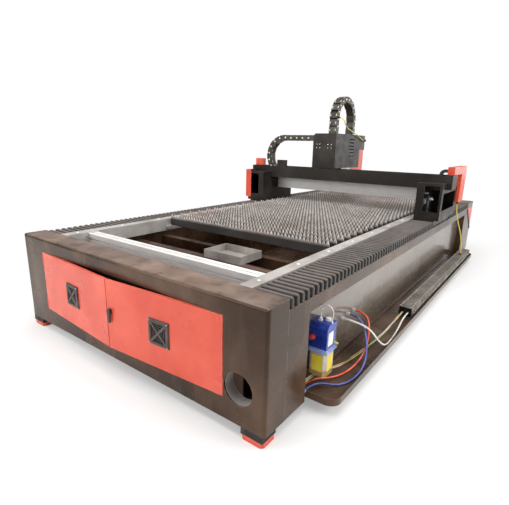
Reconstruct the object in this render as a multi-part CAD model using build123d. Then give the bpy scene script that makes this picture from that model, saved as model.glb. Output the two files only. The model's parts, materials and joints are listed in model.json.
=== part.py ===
from build123d import *
import os
from math import cos, pi, radians, sin, tan

# Sizes are in millimetres. X runs across the bed, Y from its front to its rear, Z up from the floor.
# DROP is a distance below the top of the bed, LIFT a distance above it.

# Play and cutting
OVERRUN = 20
SEAT = 0.3
RUNNING = 0.05

# Bed
BED_WIDTH = 2200
BED_LENGTH = 4850
BED_HEIGHT = 640

# Welded end frames
FRONT_DEPTH = 165
REAR_DEPTH = 370
FRAME_WALL = 8
FRAME_ROUND = 18

# Feet
FOOT_WIDTH = 130
FOOT_DEPTH = 110
FOOT_BLOCK = 36
FOOT_PLATE = 28
FOOT_INSET = 12
FOOT_CHAMFER = 14
FOOT_ROW_COUNT = 3

# Exhaust collar in the front frame
PORT_INSET = 162
PORT_DROP = 447
PORT_RADIUS = 86
PORT_WALL = 4
PORT_LENGTH = 70

# Cabinet doors
OPENING_INSET = 255
OPENING_DROP = 94
OPENING_HEIGHT = 431
DOOR_GAP = 3
DOOR_DEPTH = 20
DOOR_SHEET = 2.5
DOOR_AJAR = 4
HINGE_LENGTH = 70
HINGE_SHARE = 0.36

# Vent grilles in the doors
VENT_FACE = 148
VENT_DEPTH = 10
VENT_BEVEL = 5
VENT_SLEEVE = 124
VENT_SLEEVE_WALL = 4
VENT_SLEEVE_DEPTH = 16
VENT_BAR = 9
VENT_PAD = 3

# Swing latch on the right door
LATCH_WIDTH = 34
LATCH_HEIGHT = 87
LATCH_DEPTH = 18
LATCH_FROM_SEAM = 9
LATCH_ROUND = 10
LATCH_SHAFT_RADIUS = 6

# Bed sides: box beam, bellows channel, corner posts
BEAM_INSET = 260
BEAM_WIDTH = 190
BEAM_DROP = 100
BEAM_WALL = 8
CHANNEL_DROP = 58
CHANNEL_HEIGHT = 73
CHANNEL_LIP = 40
CHANNEL_WALL = 6
POST_FRONT = 195
POST_REAR = 140
POST_WALL = 6
PANEL_SHEET = 4
PANEL_RAISE = 20

# Inner bed
PAN_SHEET = 4
CROSS_DEPTH = 60
CROSS_HEIGHT = 80
CROSS_WALL = 5
CROSS_DROP = 150
CROSS_FRONT = 1075
CROSS_PITCH = 800
CROSS_MARGIN = 150
TRAY_BEARER = 790
BAR_SIZE = 82
BAR_FRONT = 337
BAR_DROP = 10
BAR_WALL = 8
BAR_GROOVE = 12
BAR_GROOVE_DEPTH = 14
SCRAP_WIDTH = 350
SCRAP_LEFT = 50
SCRAP_DEPTH = 250
SCRAP_HEIGHT = 58
SCRAP_SHEET = 3
SCRAP_FRONT = 805

# Guard strips and slat table
STRIP_INSET = 295
STRIP_WIDTH = 80
STRIP_SHEET = 4
STRIP_FLANGE = 104
REST_WIDTH = 25
REST_HEIGHT = 24
REST_DROP = 60
SLAT_PLAY = 7
SLAT_SHEET = 6
SLAT_FRONT = 1150
SLAT_PITCH = 115
SLAT_MARGIN = 200
TOOTH_COUNT = 14
TOOTH_LIFT = 42
TOOTH_DEPTH = 24

# Lengthwise guides
RAIL_WIDTH = 24
RAIL_HEIGHT = 26
RAIL_INSET = 87
RACK_WIDTH = 25
RACK_HEIGHT = 28
RACK_INSET = 195
GUIDE_END = 12

# Bellows
BELLOWS_WIDTH = 207
BELLOWS_DROP = 2
FOLD_DEPTH = 18
FRONT_FOLD_COUNT = 46
REAR_FOLD_COUNT = 20

# Cable tray and lengthwise drag chain
TRAY_WIDTH = 224
TRAY_FRONT = 400
TRAY_REAR = 4320
TRAY_SHEET = 3
TRAY_LIP = 40
TRAY_ROUND_SHARE = 0.3125
SIDE_CHAIN_WIDTH = 110
SIDE_CHAIN_HEIGHT = 92
SIDE_CHAIN_INSET = 78
SIDE_CHAIN_FRONT = 1800
SIDE_CHAIN_REAR = 4260
SIDE_CHAIN_LINK_COUNT = 25

# Lubricator
PUMP_FRONT = 470
PUMP_WIDTH = 120
PUMP_REACH = 122
PUMP_DROP = 240
PUMP_HEAD = 158
PUMP_FLANGE = 12
PUMP_SLOPE = 22
PUMP_INSET = 8
TANK_HEIGHT = 142
TANK_ROUND = 14

# Hoses, wires and their fittings
HOSE_DIAMETER = 12
BUNDLE_DIAMETER = 16
LEAD_DIAMETER = 6
HEAD_FIBER_DIAMETER = 10
ARC_SHARE = 0.45
HOSE_SIDE_COUNT = 6
FITTING_SIZE = 26
FITTING_REACH = 20

# Gantry carriages
CARRIAGE_INSET = 195
CARRIAGE_WIDTH = 230
CARRIAGE_BASE_WIDTH = 190
CARRIAGE_FRONT = 2730
CARRIAGE_LENGTH = 650
CARRIAGE_WALL = 8
CARRIAGE_BASE_DROP = 46
CARRIAGE_BASE_SHEET = 20
CARRIAGE_DECK_LIFT = 8
CARRIAGE_LIFT = 293
NOSE_LENGTH = 150
NOSE_LIFT = 355
FRONT_WINDOW_WIDTH = 140
FRONT_WINDOW_INSET = 70
FRONT_WINDOW_LIFT = 85
FRONT_WINDOW_HEIGHT = 245
SIDE_WINDOW_INSET = 60
SIDE_WINDOW_LIFT = 95
SIDE_WINDOW_HEIGHT = 165
RUNNER_WIDTH = 48
RUNNER_LENGTH = 100
RUNNER_INSET = 30
RUNNER_CLEAR = 5

# Lengthwise drives
PINION_RADIUS = 28
PINION_TOOTH_COUNT = 14
PINION_TOOTH = 5
PINION_HEIGHT = 26
PINION_CLEAR = 2
PINION_SHAFT_RADIUS = 12
DRIVE_SETBACK = 120
GEARBOX_SIZE = 84
GEARBOX_HEIGHT = 110
MOTOR_SIZE = 76
MOTOR_HEIGHT = 130
MOTOR_FLANGE = 12

# Bridge beam and chain trough
BRIDGE_SETBACK = 330
BRIDGE_DEPTH = 240
BRIDGE_LIFT = 156
BRIDGE_WALL = 10
BRIDGE_GROOVE = 12
TROUGH_OVERHANG = 80
TROUGH_DEPTH = 190
TROUGH_HEIGHT = 132
TROUGH_SHEET = 4
TAB_INSET = 370
TAB_WIDTH = 120
TAB_DEPTH = 40
TAB_HEIGHT = 75

# Red covers on the gantry
COVER_SHEET = 3
END_COVER_SETIN = 80
END_COVER_WIDTH = 65
END_COVER_SETBACK = 270
END_COVER_LENGTH = 600
END_COVER_TOP = 75
END_COVER_LIFT = 130
END_CAP_WIDTH = 104
END_CAP_SETBACK = 215
END_CAP_DEPTH = 70
END_CAP_HEIGHT = 82
SIDE_COVER_DEPTH = 33
SIDE_COVER_RETURN = 79
SIDE_COVER_LIFT = 40
SIDE_COVER_TOP = 375
SIDE_COVER_LENGTH = 570

# Conduit bow on the right of the gantry
BOW_WIDTH = 40
BOW_THICK = 30
BOW_REACH = 75
BOW_RADIUS = 22
BOW_LIFT = 462
BOW_SETBACK = 300

# Cross guides on the bridge
CROSS_RAIL_WIDTH = 24
CROSS_RAIL_HEIGHT = 22
CROSS_RAIL_SETBACK = 60
CROSS_RAIL_PITCH = 140
CROSS_RAIL_END = 15
CROSS_RACK_DEPTH = 25
CROSS_RACK_HEIGHT = 28
CROSS_RACK_BELOW = 3
CROSS_PINION_RADIUS = 24
CROSS_PINION_SHAFT = 10

# Cross slide
HEAD_X = -212.5
HEAD_WIDTH = 285
SLIDE_FRONT = 3090
SLIDE_REAR = 3400
SLIDE_LIFT = 338
SLIDE_SHEET = 20
SLIDE_RUNNER_LENGTH = 90
SLIDE_RUNNER_CLEAR = 6
UPRIGHT_SHEET = 8
UPRIGHT_HEIGHT = 160
UPRIGHT_INSET = 20
HEAD_MOTOR_SIZE = 80
HEAD_MOTOR_HEIGHT = 190

# Head housing
HOUSING_FRONT = 2930
HOUSING_REAR = 3745
HOUSING_LIFT = 430
HOUSING_TOP = 811
HOUSING_SHEET = 3
HOUSING_CHAMFER = 22
NOTCH_LENGTH = 145
NOTCH_LIFT = 640
LOUVRE_LENGTH = 125
LOUVRE_HEIGHT = 12
LOUVRE_PITCH = 38
LOUVRE_COUNT = 6
LOUVRE_SETBACK = 370
LOUVRE_DROP = 50

# Back plate, lift screw and red head cover
BACK_SHEET = 20
BACK_LIFT = 110
BACK_TOP = 600
LIFT_RAIL_WIDTH = 20
LIFT_RAIL_DEPTH = 18
LIFT_RAIL_SPREAD = 150
LIFT_RAIL_LIFT = 130
LIFT_RAIL_TOP = 555
SCREW_RADIUS = 8
SCREW_SETBACK = 26
BEARING_SIZE = 50
BEARING_DEPTH = 46
BEARING_HEIGHT = 30
LOWER_BEARING_LIFT = 150
HEAD_COVER_LIFT = 150
HEAD_COVER_FRONT = 3402

# Lift slide and cutting head
LIFT_PLATE_WIDTH = 236
LIFT_PLATE_SHEET = 18
LIFT_PLATE_LIFT = 200
LIFT_PLATE_TOP = 420
LIFT_RUNNER_WIDTH = 46
LIFT_RUNNER_HEIGHT = 60
NUT_HEIGHT = 50
CUTTER_BODY = 100
CUTTER_BODY_LIFT = 260
CUTTER_BODY_TOP = 420
CUTTER_NECK = 66
CUTTER_NECK_TOP = 560
CUTTER_SENSOR_RADIUS = 36
CUTTER_SENSOR_LIFT = 180
CUTTER_CONE_LIFT = 108
NOZZLE_RADIUS = 13
NOZZLE_TIP_RADIUS = 4
NOZZLE_LIFT = 62

# Drag chains of the head
CHAIN_HEIGHT = 65
CHAIN_WIDTH = 95
CHAIN_PITCH = 80
CHAIN_CLEAR = 2.5
CHAIN_BODY_SHARE = 0.74
CHAIN_NECK_SHARE = 0.72
CHAIN_Y = 2998
CHAIN_BEND_INSET = 412
CHAIN_BEND_RADIUS = 214
CHAIN_FIXED_X = 60
LOOP_X = -148
LOOP_FRONT = 3010
LOOP_RADIUS = 220
LOOP_LEG = 158

# Levels and faces that several pieces share
BED_BOTTOM = FOOT_PLATE + FOOT_BLOCK
BED_TOP = BED_BOTTOM + BED_HEIGHT
HALF_WIDTH = BED_WIDTH / 2
PORT_X = HALF_WIDTH - PORT_INSET
OPENING_HALF = HALF_WIDTH - OPENING_INSET
BEAM_INNER = HALF_WIDTH - BEAM_INSET
STRIP_INNER = HALF_WIDTH - STRIP_INSET
RAIL_X = HALF_WIDTH - RAIL_INSET
RACK_X = HALF_WIDTH - RACK_INSET
BELLOWS_OUTER = HALF_WIDTH
BELLOWS_INNER = BELLOWS_OUTER - BELLOWS_WIDTH
CARRIAGE_INNER = HALF_WIDTH - CARRIAGE_INSET
CROSS_RAIL_HALF = CARRIAGE_INNER - CROSS_RAIL_END
TROUGH_HALF = HALF_WIDTH + TROUGH_OVERHANG
TAB_LEFT = TAB_INSET - TROUGH_HALF
CHAIN_BEND_X = CHAIN_BEND_INSET - TROUGH_HALF
REAR_FRONT = BED_LENGTH - REAR_DEPTH
BED_Y = (FRONT_DEPTH, REAR_FRONT)
BEAM_OUTER = BEAM_INNER + BEAM_WIDTH
BEAM_TOP = BED_TOP - BEAM_DROP
CHANNEL_TOP = BED_TOP - CHANNEL_DROP
CHANNEL_LOW = CHANNEL_TOP - CHANNEL_HEIGHT
PANEL_OUTER = BEAM_OUTER + PANEL_SHEET
TRAY_OUTER = PANEL_OUTER + TRAY_WIDTH
SIDE_CHAIN_X = TRAY_OUTER - SIDE_CHAIN_INSET
DOOR_LOW = BED_TOP - OPENING_DROP - OPENING_HEIGHT + DOOR_GAP
DOOR_HIGH = BED_TOP - OPENING_DROP - DOOR_GAP
DOOR_MID = (DOOR_LOW + DOOR_HIGH) / 2
DOOR_EDGE = OPENING_HALF - DOOR_GAP
TRAY_ROUND = TRAY_WIDTH * TRAY_ROUND_SHARE
CROSS_COUNT = int((REAR_FRONT - CROSS_MARGIN - CROSS_FRONT) / CROSS_PITCH) + 1
REST_TOP = BED_TOP - REST_DROP
SLAT_HALF = STRIP_INNER - SLAT_PLAY
SLAT_COUNT = int((REAR_FRONT - SLAT_MARGIN - SLAT_FRONT) / SLAT_PITCH) + 1
CARRIAGE_OUTER = CARRIAGE_INNER + CARRIAGE_WIDTH
CARRIAGE_REAR = CARRIAGE_FRONT + CARRIAGE_LENGTH
CARRIAGE_Y = (CARRIAGE_FRONT, CARRIAGE_REAR)
CARRIAGE_TOP = BED_TOP + CARRIAGE_LIFT
CARRIAGE_BASE = BED_TOP - CARRIAGE_BASE_DROP
DRIVE_X = RACK_X + RACK_WIDTH + PINION_RADIUS + SEAT
DRIVE_Y = CARRIAGE_FRONT + DRIVE_SETBACK
BRIDGE_FRONT = CARRIAGE_FRONT + BRIDGE_SETBACK
BRIDGE_REAR = BRIDGE_FRONT + BRIDGE_DEPTH
TROUGH_FRONT = CARRIAGE_FRONT + NOSE_LENGTH
TROUGH_TOP = CARRIAGE_TOP + TROUGH_HEIGHT
END_COVER_INNER = TROUGH_HALF - END_COVER_SETIN
END_COVER_MIDDLE = END_COVER_INNER + END_COVER_WIDTH / 2
HEAD_LEFT = HEAD_X - HEAD_WIDTH / 2
HEAD_RIGHT = HEAD_X + HEAD_WIDTH / 2
SLIDE_LOW = BED_TOP + SLIDE_LIFT
SLIDE_TOP = SLIDE_LOW + SLIDE_SHEET
CROSS_PINION_Y = BRIDGE_REAR + CROSS_RACK_DEPTH + CROSS_PINION_RADIUS + SEAT
BACK_REAR = SLIDE_REAR + BACK_SHEET
COVER_INNER_LEFT = HEAD_LEFT + HOUSING_SHEET + UPRIGHT_SHEET
COVER_INNER_RIGHT = HEAD_RIGHT - HOUSING_SHEET - UPRIGHT_SHEET
SCREW_Y = BACK_REAR + SCREW_SETBACK
LIFT_PLATE_FRONT = BACK_REAR + BEARING_DEPTH - SEAT
CUTTER_Y = LIFT_PLATE_FRONT + LIFT_PLATE_SHEET + CUTTER_BODY / 2
CHAIN_LOW = CARRIAGE_TOP + TROUGH_SHEET + CHAIN_CLEAR + CHAIN_HEIGHT / 2

PUMP_TOP = BED_TOP - PUMP_DROP
HOUSING_CROWN = BED_TOP + HOUSING_TOP
HEAD_FITTING = HOUSING_REAR - 2 * FITTING_REACH
PANEL_FITTING = PANEL_OUTER + FITTING_REACH
POST_FITTING = FRONT_DEPTH + POST_FRONT + FITTING_REACH
END_COVER_LOW = BED_TOP + END_COVER_LIFT

# Routes of the hoses, the wires and the hanging fiber: diameter, then points along the middle
ROUTES = {
    "red_hose": (
        HOSE_DIAMETER,
        [
            (PANEL_FITTING, 1070, 339),
            (1135, 1070, 339),
            (1185, 1010, 260),
            (1188, 950, 130),
            (1172, 820, 76),
            (1135, 650, 78),
            (1050, 500, 114),
            (1050, POST_FITTING, 114),
        ],
    ),
    "blue_hose": (
        HOSE_DIAMETER,
        [
            (PANEL_FITTING, 985, 339),
            (1130, 985, 339),
            (1190, 940, 250),
            (1226, 885, 120),
            (1232, 740, 76),
            (1190, 590, 76),
            (1084, 490, 114),
            (1084, POST_FITTING, 114),
        ],
    ),
    "white_hose": (
        HOSE_DIAMETER,
        [
            (PANEL_FITTING, 900, 339),
            (1130, 900, 339),
            (1205, 960, 290),
            (1236, 1050, 180),
            (1238, 1190, 90),
            (1228, 1360, 76),
            (1214, 1530, 80),
            (1200, 1690, 113),
            (1200, SIDE_CHAIN_FRONT, 113),
        ],
    ),
    "wire_bundle": (
        BUNDLE_DIAMETER,
        [
            (1160, SIDE_CHAIN_FRONT, 113),
            (1160, 1690, 113),
            (1158, 1470, 84),
            (1150, 1240, 78),
            (1132, 1010, 80),
            (1110, 800, 88),
            (1085, 640, 118),
            (1068, 500, 148),
            (1068, POST_FITTING, 148),
        ],
    ),
    "gantry_fiber": (
        HOSE_DIAMETER,
        [
            (END_COVER_MIDDLE, 3520, END_COVER_LOW),
            (END_COVER_MIDDLE, 3520, 740),
            (1160, 3580, 600),
            (1182, 3690, 470),
            (1182, 3804, 360),
            (1190, 3880, 262),
            (1190, 3880, 161),
        ],
    ),
    "pump_lead": (
        LEAD_DIAMETER,
        [
            (1075, 535, PUMP_TOP),
            (1075, 535, PUMP_TOP + 45),
            (1082, 533, PUMP_TOP + 76),
            (1106, 531, PUMP_TOP + 98),
            (1134, 531, PUMP_TOP + 92),
            (1150, 533, PUMP_TOP + 62),
            (1142, 536, PUMP_TOP + 34),
            (1142, 536, PUMP_TOP),
        ],
    ),
    "head_fiber": (
        HEAD_FIBER_DIAMETER,
        [
            (LOOP_X + CHAIN_WIDTH / 2, LOOP_FRONT, HOUSING_CROWN + 172),
            (LOOP_X + CHAIN_WIDTH / 2 + 64, LOOP_FRONT, HOUSING_CROWN + 172),
            (-42, 3090, HOUSING_CROWN + 82),
            (-44, 3220, HOUSING_CROWN + 44),
            (-46, 3400, HOUSING_CROWN + 12),
            (-50, 3540, HOUSING_CROWN - 26),
            (HEAD_RIGHT + FITTING_SIZE / 2, 3640, HOUSING_CROWN - 59),
            (HEAD_RIGHT + FITTING_SIZE / 2, HEAD_FITTING, HOUSING_CROWN - 59),
        ],
    ),
}

# The part's origin is the middle of its footprint on the floor.
AJAR = radians(DOOR_AJAR)
LATCH_REACH = DOOR_EDGE - DOOR_GAP / 2 - LATCH_FROM_SEAM
FRONT_REACH = LATCH_REACH * sin(AJAR) + LATCH_DEPTH * cos(AJAR)
CENTRE_X = (TRAY_OUTER - TROUGH_HALF) / 2
CENTRE_Y = (BED_LENGTH - FRONT_REACH) / 2
PART_FRAME = Location((-CENTRE_X, -CENTRE_Y, 0))


def block(x, y, z):
    """A block between three pairs of limits."""
    centre = Pos((x[0] + x[1]) / 2, (y[0] + y[1]) / 2, (z[0] + z[1]) / 2)
    return centre * Box(x[1] - x[0], y[1] - y[0], z[1] - z[0])


def shell(x, y, z, wall, open_faces):
    """A block hollowed to a wall, cut through at the faces named in open_faces, such as -z."""
    inner = []
    for axis, span in zip("xyz", (x, y, z)):
        low = span[0] - OVERRUN if "-" + axis in open_faces else span[0] + wall
        high = span[1] + OVERRUN if "+" + axis in open_faces else span[1] - wall
        inner.append((low, high))
    return block(x, y, z) - block(*inner)


def about(middle, width):
    """The limits of a width about its middle."""
    return (middle - width / 2, middle + width / 2)


def prism_x(points, x):
    """An outline of (y, z) points, drawn out along X."""
    return extrude(Plane.YZ.offset(x[0]) * Polygon(*points, align=None), x[1] - x[0], dir=(1, 0, 0))


def prism_y(points, y):
    """An outline of (x, z) points, drawn out along Y."""
    return extrude(Plane.XZ.offset(-y[0]) * Polygon(*points, align=None), y[1] - y[0], dir=(0, 1, 0))


def prism_z(points, z):
    """An outline of (x, y) points, drawn out along Z."""
    return extrude(Plane.XY.offset(z[0]) * Polygon(*points, align=None), z[1] - z[0], dir=(0, 0, 1))


def upright_rod(x, y, z, radius):
    """A round rod along Z."""
    return Pos(x, y, (z[0] + z[1]) / 2) * Cylinder(radius, z[1] - z[0])


def level_rod(x, z, y, radius):
    """A round rod along Y."""
    return Pos(x, (y[0] + y[1]) / 2, z) * Rot(90, 0, 0) * Cylinder(radius, y[1] - y[0])


def other_side(shape):
    """The same piece on the other side of the bed's middle plane."""
    return mirror(shape, about=Plane.YZ)


def end_frame(depth, open_faces):
    """A welded end box with a rounded top edge and rounded upright edges on its outer face."""
    spans = ((-HALF_WIDTH, HALF_WIDTH), (0, depth), (BED_BOTTOM, BED_TOP))
    body = block(*spans)
    top_edge = body.edges().filter_by(Axis.X).group_by(Axis.Z)[-1].sort_by(Axis.Y)[0]
    upright_edges = body.edges().filter_by(Axis.Z).group_by(Axis.Y)[0]
    hollow = block(*spans) - shell(*spans, FRAME_WALL, open_faces)
    return fillet([top_edge, *upright_edges], FRAME_ROUND) - hollow


def front_end_frame():
    """The front box, with the cabinet opening and the exhaust collar."""
    through = (-OVERRUN, FRAME_WALL + OVERRUN)
    door_hole = (BED_TOP - OPENING_DROP - OPENING_HEIGHT, BED_TOP - OPENING_DROP)
    frame = end_frame(FRONT_DEPTH, "+y")
    frame -= block((-OPENING_HALF, OPENING_HALF), through, door_hole)
    port_z = BED_TOP - PORT_DROP
    frame += level_rod(PORT_X, port_z, (FRAME_WALL, PORT_LENGTH), PORT_RADIUS + PORT_WALL)
    return frame - level_rod(PORT_X, port_z, (-OVERRUN, PORT_LENGTH + OVERRUN), PORT_RADIUS)


def rear_end_frame():
    """The rear box, open below."""
    return Pos(0, BED_LENGTH, 0) * Rot(0, 0, 180) * end_frame(REAR_DEPTH, "-z")


def feet(low, high, chamfer_size):
    """One layer of the feet, in rows from the front of the bed to its rear."""
    layer = []
    run = BED_LENGTH - FOOT_DEPTH
    for row in range(FOOT_ROW_COUNT):
        front = run * row / (FOOT_ROW_COUNT - 1)
        x = (HALF_WIDTH - FOOT_INSET - FOOT_WIDTH, HALF_WIDTH - FOOT_INSET)
        if 0 < row < FOOT_ROW_COUNT - 1:
            x = about(BEAM_INNER + BEAM_WIDTH / 2, FOOT_WIDTH)
        foot = block(x, (front, front + FOOT_DEPTH), (low, high))
        if chamfer_size:
            foot = chamfer(foot.edges().filter_by(Axis.Z), chamfer_size)
        layer += [foot, other_side(foot)]
    return layer


def foot_plates():
    """Red plates on the floor."""
    return feet(0, FOOT_PLATE, FOOT_CHAMFER)


def foot_blocks():
    """Black blocks between the plates and the bed."""
    return feet(FOOT_PLATE, BED_BOTTOM, 0)


def bed_side():
    """The right bed side: a hollow beam, the channel under the bellows and two corner posts."""
    beam = shell((BEAM_INNER, BEAM_OUTER), BED_Y, (BED_BOTTOM, BEAM_TOP), BEAM_WALL, "-y+y")
    inside = HALF_WIDTH - CHANNEL_WALL
    channel = prism_y(
        [
            (BEAM_OUTER, CHANNEL_LOW),
            (HALF_WIDTH, CHANNEL_LOW),
            (HALF_WIDTH, CHANNEL_TOP),
            (HALF_WIDTH - CHANNEL_LIP, CHANNEL_TOP),
            (HALF_WIDTH - CHANNEL_LIP, CHANNEL_TOP - CHANNEL_WALL),
            (inside, CHANNEL_TOP - CHANNEL_WALL),
            (inside, CHANNEL_LOW + CHANNEL_WALL),
            (BEAM_OUTER, CHANNEL_LOW + CHANNEL_WALL),
        ],
        BED_Y,
    )
    post_x = (BEAM_OUTER, HALF_WIDTH)
    post_z = (BED_BOTTOM, CHANNEL_LOW)
    front_post = shell(post_x, (FRONT_DEPTH, FRONT_DEPTH + POST_FRONT), post_z, POST_WALL, "-z")
    rear_post = shell(post_x, (REAR_FRONT - POST_REAR, REAR_FRONT), post_z, POST_WALL, "-z")
    return beam + channel + front_post + rear_post


def side_panel():
    """The flat sheet between the corner posts of the right bed side."""
    y = (FRONT_DEPTH + POST_FRONT, REAR_FRONT - POST_REAR)
    return block((BEAM_OUTER, PANEL_OUTER), y, (BED_BOTTOM + PANEL_RAISE, CHANNEL_LOW))


def base_pan():
    """The sheet that closes the bed below."""
    return block((-BEAM_INNER, BEAM_INNER), BED_Y, (BED_BOTTOM, BED_BOTTOM + PAN_SHEET))


def cross_members():
    """Tubes across the bed between its side beams."""
    fronts = [TRAY_BEARER] + [CROSS_FRONT + row * CROSS_PITCH for row in range(CROSS_COUNT)]
    top = BED_TOP - CROSS_DROP
    tubes = []
    for front in fronts:
        y = (front, front + CROSS_DEPTH)
        tubes.append(shell((-BEAM_INNER, BEAM_INNER), y, (top - CROSS_HEIGHT, top), CROSS_WALL, "-x+x"))
    return tubes


def front_cross_bar():
    """The slotted aluminium bar across the open front bay."""
    y = (BAR_FRONT, BAR_FRONT + BAR_SIZE)
    top = BED_TOP - BAR_DROP
    x = (-STRIP_INNER, STRIP_INNER)
    through = (-STRIP_INNER - OVERRUN, STRIP_INNER + OVERRUN)
    bar = block(x, y, (top - BAR_SIZE, top))
    core = BAR_GROOVE_DEPTH + BAR_WALL
    bar -= block(through, (y[0] + core, y[1] - core), (top - BAR_SIZE + core, top - core))
    bar -= block(through, about((y[0] + y[1]) / 2, BAR_GROOVE), (top - BAR_GROOVE_DEPTH, top + OVERRUN))
    face = about(top - BAR_SIZE / 2, BAR_GROOVE)
    bar -= block(through, (y[0] - OVERRUN, y[0] + BAR_GROOVE_DEPTH), face)
    bar -= block(through, (y[1] - BAR_GROOVE_DEPTH, y[1] + OVERRUN), face)
    return bar


def scrap_tray():
    """An open sheet tray that stands on two cross members."""
    low = BED_TOP - CROSS_DROP
    x = (-SCRAP_LEFT, SCRAP_WIDTH - SCRAP_LEFT)
    return shell(x, (SCRAP_FRONT, SCRAP_FRONT + SCRAP_DEPTH), (low, low + SCRAP_HEIGHT), SCRAP_SHEET, "+z")


def guard_strip():
    """The right folded strip beside the bellows, with the bar that the slats rest on."""
    outer = STRIP_INNER + STRIP_WIDTH
    fold = prism_y(
        [
            (STRIP_INNER, BED_TOP - STRIP_FLANGE),
            (STRIP_INNER, BED_TOP),
            (outer, BED_TOP),
            (outer, BEAM_TOP),
            (outer - STRIP_SHEET, BEAM_TOP),
            (outer - STRIP_SHEET, BED_TOP - STRIP_SHEET),
            (STRIP_INNER + STRIP_SHEET, BED_TOP - STRIP_SHEET),
            (STRIP_INNER + STRIP_SHEET, BED_TOP - STRIP_FLANGE),
        ],
        BED_Y,
    )
    rest_y = (SLAT_FRONT - SLAT_PITCH / 2, REAR_FRONT)
    return fold + block((STRIP_INNER - REST_WIDTH, STRIP_INNER), rest_y, (REST_TOP - REST_HEIGHT, REST_TOP))


def table_slats():
    """Toothed slats on edge across the bed."""
    tip = BED_TOP + TOOTH_LIFT
    half_tooth = SLAT_HALF / TOOTH_COUNT
    outline = [(-SLAT_HALF, REST_TOP), (SLAT_HALF, REST_TOP)]
    for step in range(2 * TOOTH_COUNT + 1):
        root = TOOTH_DEPTH if step % 2 == 0 else 0
        outline.append((SLAT_HALF - step * half_tooth, tip - root))
    slats = []
    for row in range(SLAT_COUNT):
        front = SLAT_FRONT + row * SLAT_PITCH
        slats.append(prism_y(outline, (front, front + SLAT_SHEET)))
    return slats


def way_guides():
    """Guide rails and racks on top of both side beams."""
    y = (FRONT_DEPTH + GUIDE_END, REAR_FRONT - GUIDE_END)
    rail = block(about(RAIL_X, RAIL_WIDTH), y, (BEAM_TOP, BEAM_TOP + RAIL_HEIGHT))
    rack = block((RACK_X, RACK_X + RACK_WIDTH), y, (BEAM_TOP, BEAM_TOP + RACK_HEIGHT))
    return [rail, other_side(rail), rack, other_side(rack)]


def bellows(y, folds):
    """A right-hand bellows: pleated on top and along its outer side, flat below and inside."""
    top = BED_TOP - BELLOWS_DROP
    half_fold = (y[1] - y[0]) / folds / 2
    profile = [(y[1], CHANNEL_TOP), (y[0], CHANNEL_TOP)]
    plan = [(BELLOWS_INNER, y[1]), (BELLOWS_INNER, y[0])]
    for step in range(2 * folds + 1):
        along = y[0] + step * half_fold
        sunk = FOLD_DEPTH if step % 2 == 0 else 0
        profile.append((along, top - sunk))
        plan.append((BELLOWS_OUTER - sunk, along))
    pleated_top = prism_x(profile, (BELLOWS_INNER - OVERRUN, BELLOWS_OUTER + OVERRUN))
    pleated_side = prism_z(plan, (CHANNEL_TOP - OVERRUN, BED_TOP + OVERRUN))
    return pleated_top & pleated_side


def cable_tray():
    """The tray along the foot of the right side, with rounded outer corners."""
    x = (PANEL_OUTER, TRAY_OUTER)
    y = (TRAY_FRONT, TRAY_REAR)
    z = (BED_BOTTOM, BED_BOTTOM + TRAY_LIP)
    hollow_z = (BED_BOTTOM + TRAY_SHEET, BED_BOTTOM + TRAY_LIP + OVERRUN)
    outer = block(x, y, z)
    inner = block((x[0] + TRAY_SHEET, x[1] - TRAY_SHEET), (y[0] + TRAY_SHEET, y[1] - TRAY_SHEET), hollow_z)
    outer = fillet(outer.edges().filter_by(Axis.Z).group_by(Axis.X)[-1], TRAY_ROUND)
    inner = fillet(inner.edges().filter_by(Axis.Z).group_by(Axis.X)[-1], TRAY_ROUND - TRAY_SHEET)
    return outer - inner


def drag_chain(length, links, width, height, frame_at):
    """A chain of link bodies and the narrower necks between them, along frame_at(distance)."""
    pitch = length / (links - 1 + CHAIN_BODY_SHARE)
    half_body = CHAIN_BODY_SHARE / 2
    half_gap = (1 - CHAIN_BODY_SHARE) / 2
    body = Box(pitch * CHAIN_BODY_SHARE, width, height)
    neck = Box(pitch * CHAIN_NECK_SHARE, width * CHAIN_NECK_SHARE, height * CHAIN_NECK_SHARE)
    bodies = [frame_at((link + half_body) * pitch) * body for link in range(links)]
    necks = [frame_at((link - half_gap) * pitch) * neck for link in range(1, links)]
    return Part() + bodies + necks


def side_chain():
    """The straight chain that lies in the cable tray."""
    height = BED_BOTTOM + TRAY_SHEET + SIDE_CHAIN_HEIGHT / 2

    def frame_at(distance):
        return Plane((SIDE_CHAIN_X, SIDE_CHAIN_FRONT + distance, height), x_dir=(0, 1, 0)).location

    length = SIDE_CHAIN_REAR - SIDE_CHAIN_FRONT
    return drag_chain(length, SIDE_CHAIN_LINK_COUNT, SIDE_CHAIN_WIDTH, SIDE_CHAIN_HEIGHT, frame_at)


def lubricator_head():
    """The pump on the right side panel: a sloping housing over a flange."""
    top = BED_TOP - PUMP_DROP
    low = top - PUMP_HEAD
    flange_x = (PANEL_OUTER, PANEL_OUTER + PUMP_REACH)
    flange_y = (PUMP_FRONT, PUMP_FRONT + PUMP_WIDTH)
    housing = prism_x(
        [
            (flange_y[0] + PUMP_INSET, low + PUMP_FLANGE),
            (flange_y[0] + PUMP_INSET, top - PUMP_SLOPE),
            (flange_y[0] + PUMP_INSET + PUMP_SLOPE, top),
            (flange_y[1] - PUMP_INSET, top),
            (flange_y[1] - PUMP_INSET, low + PUMP_FLANGE),
        ],
        (flange_x[0], flange_x[1] - PUMP_INSET),
    )
    return housing + block(flange_x, flange_y, (low, low + PUMP_FLANGE))


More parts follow.
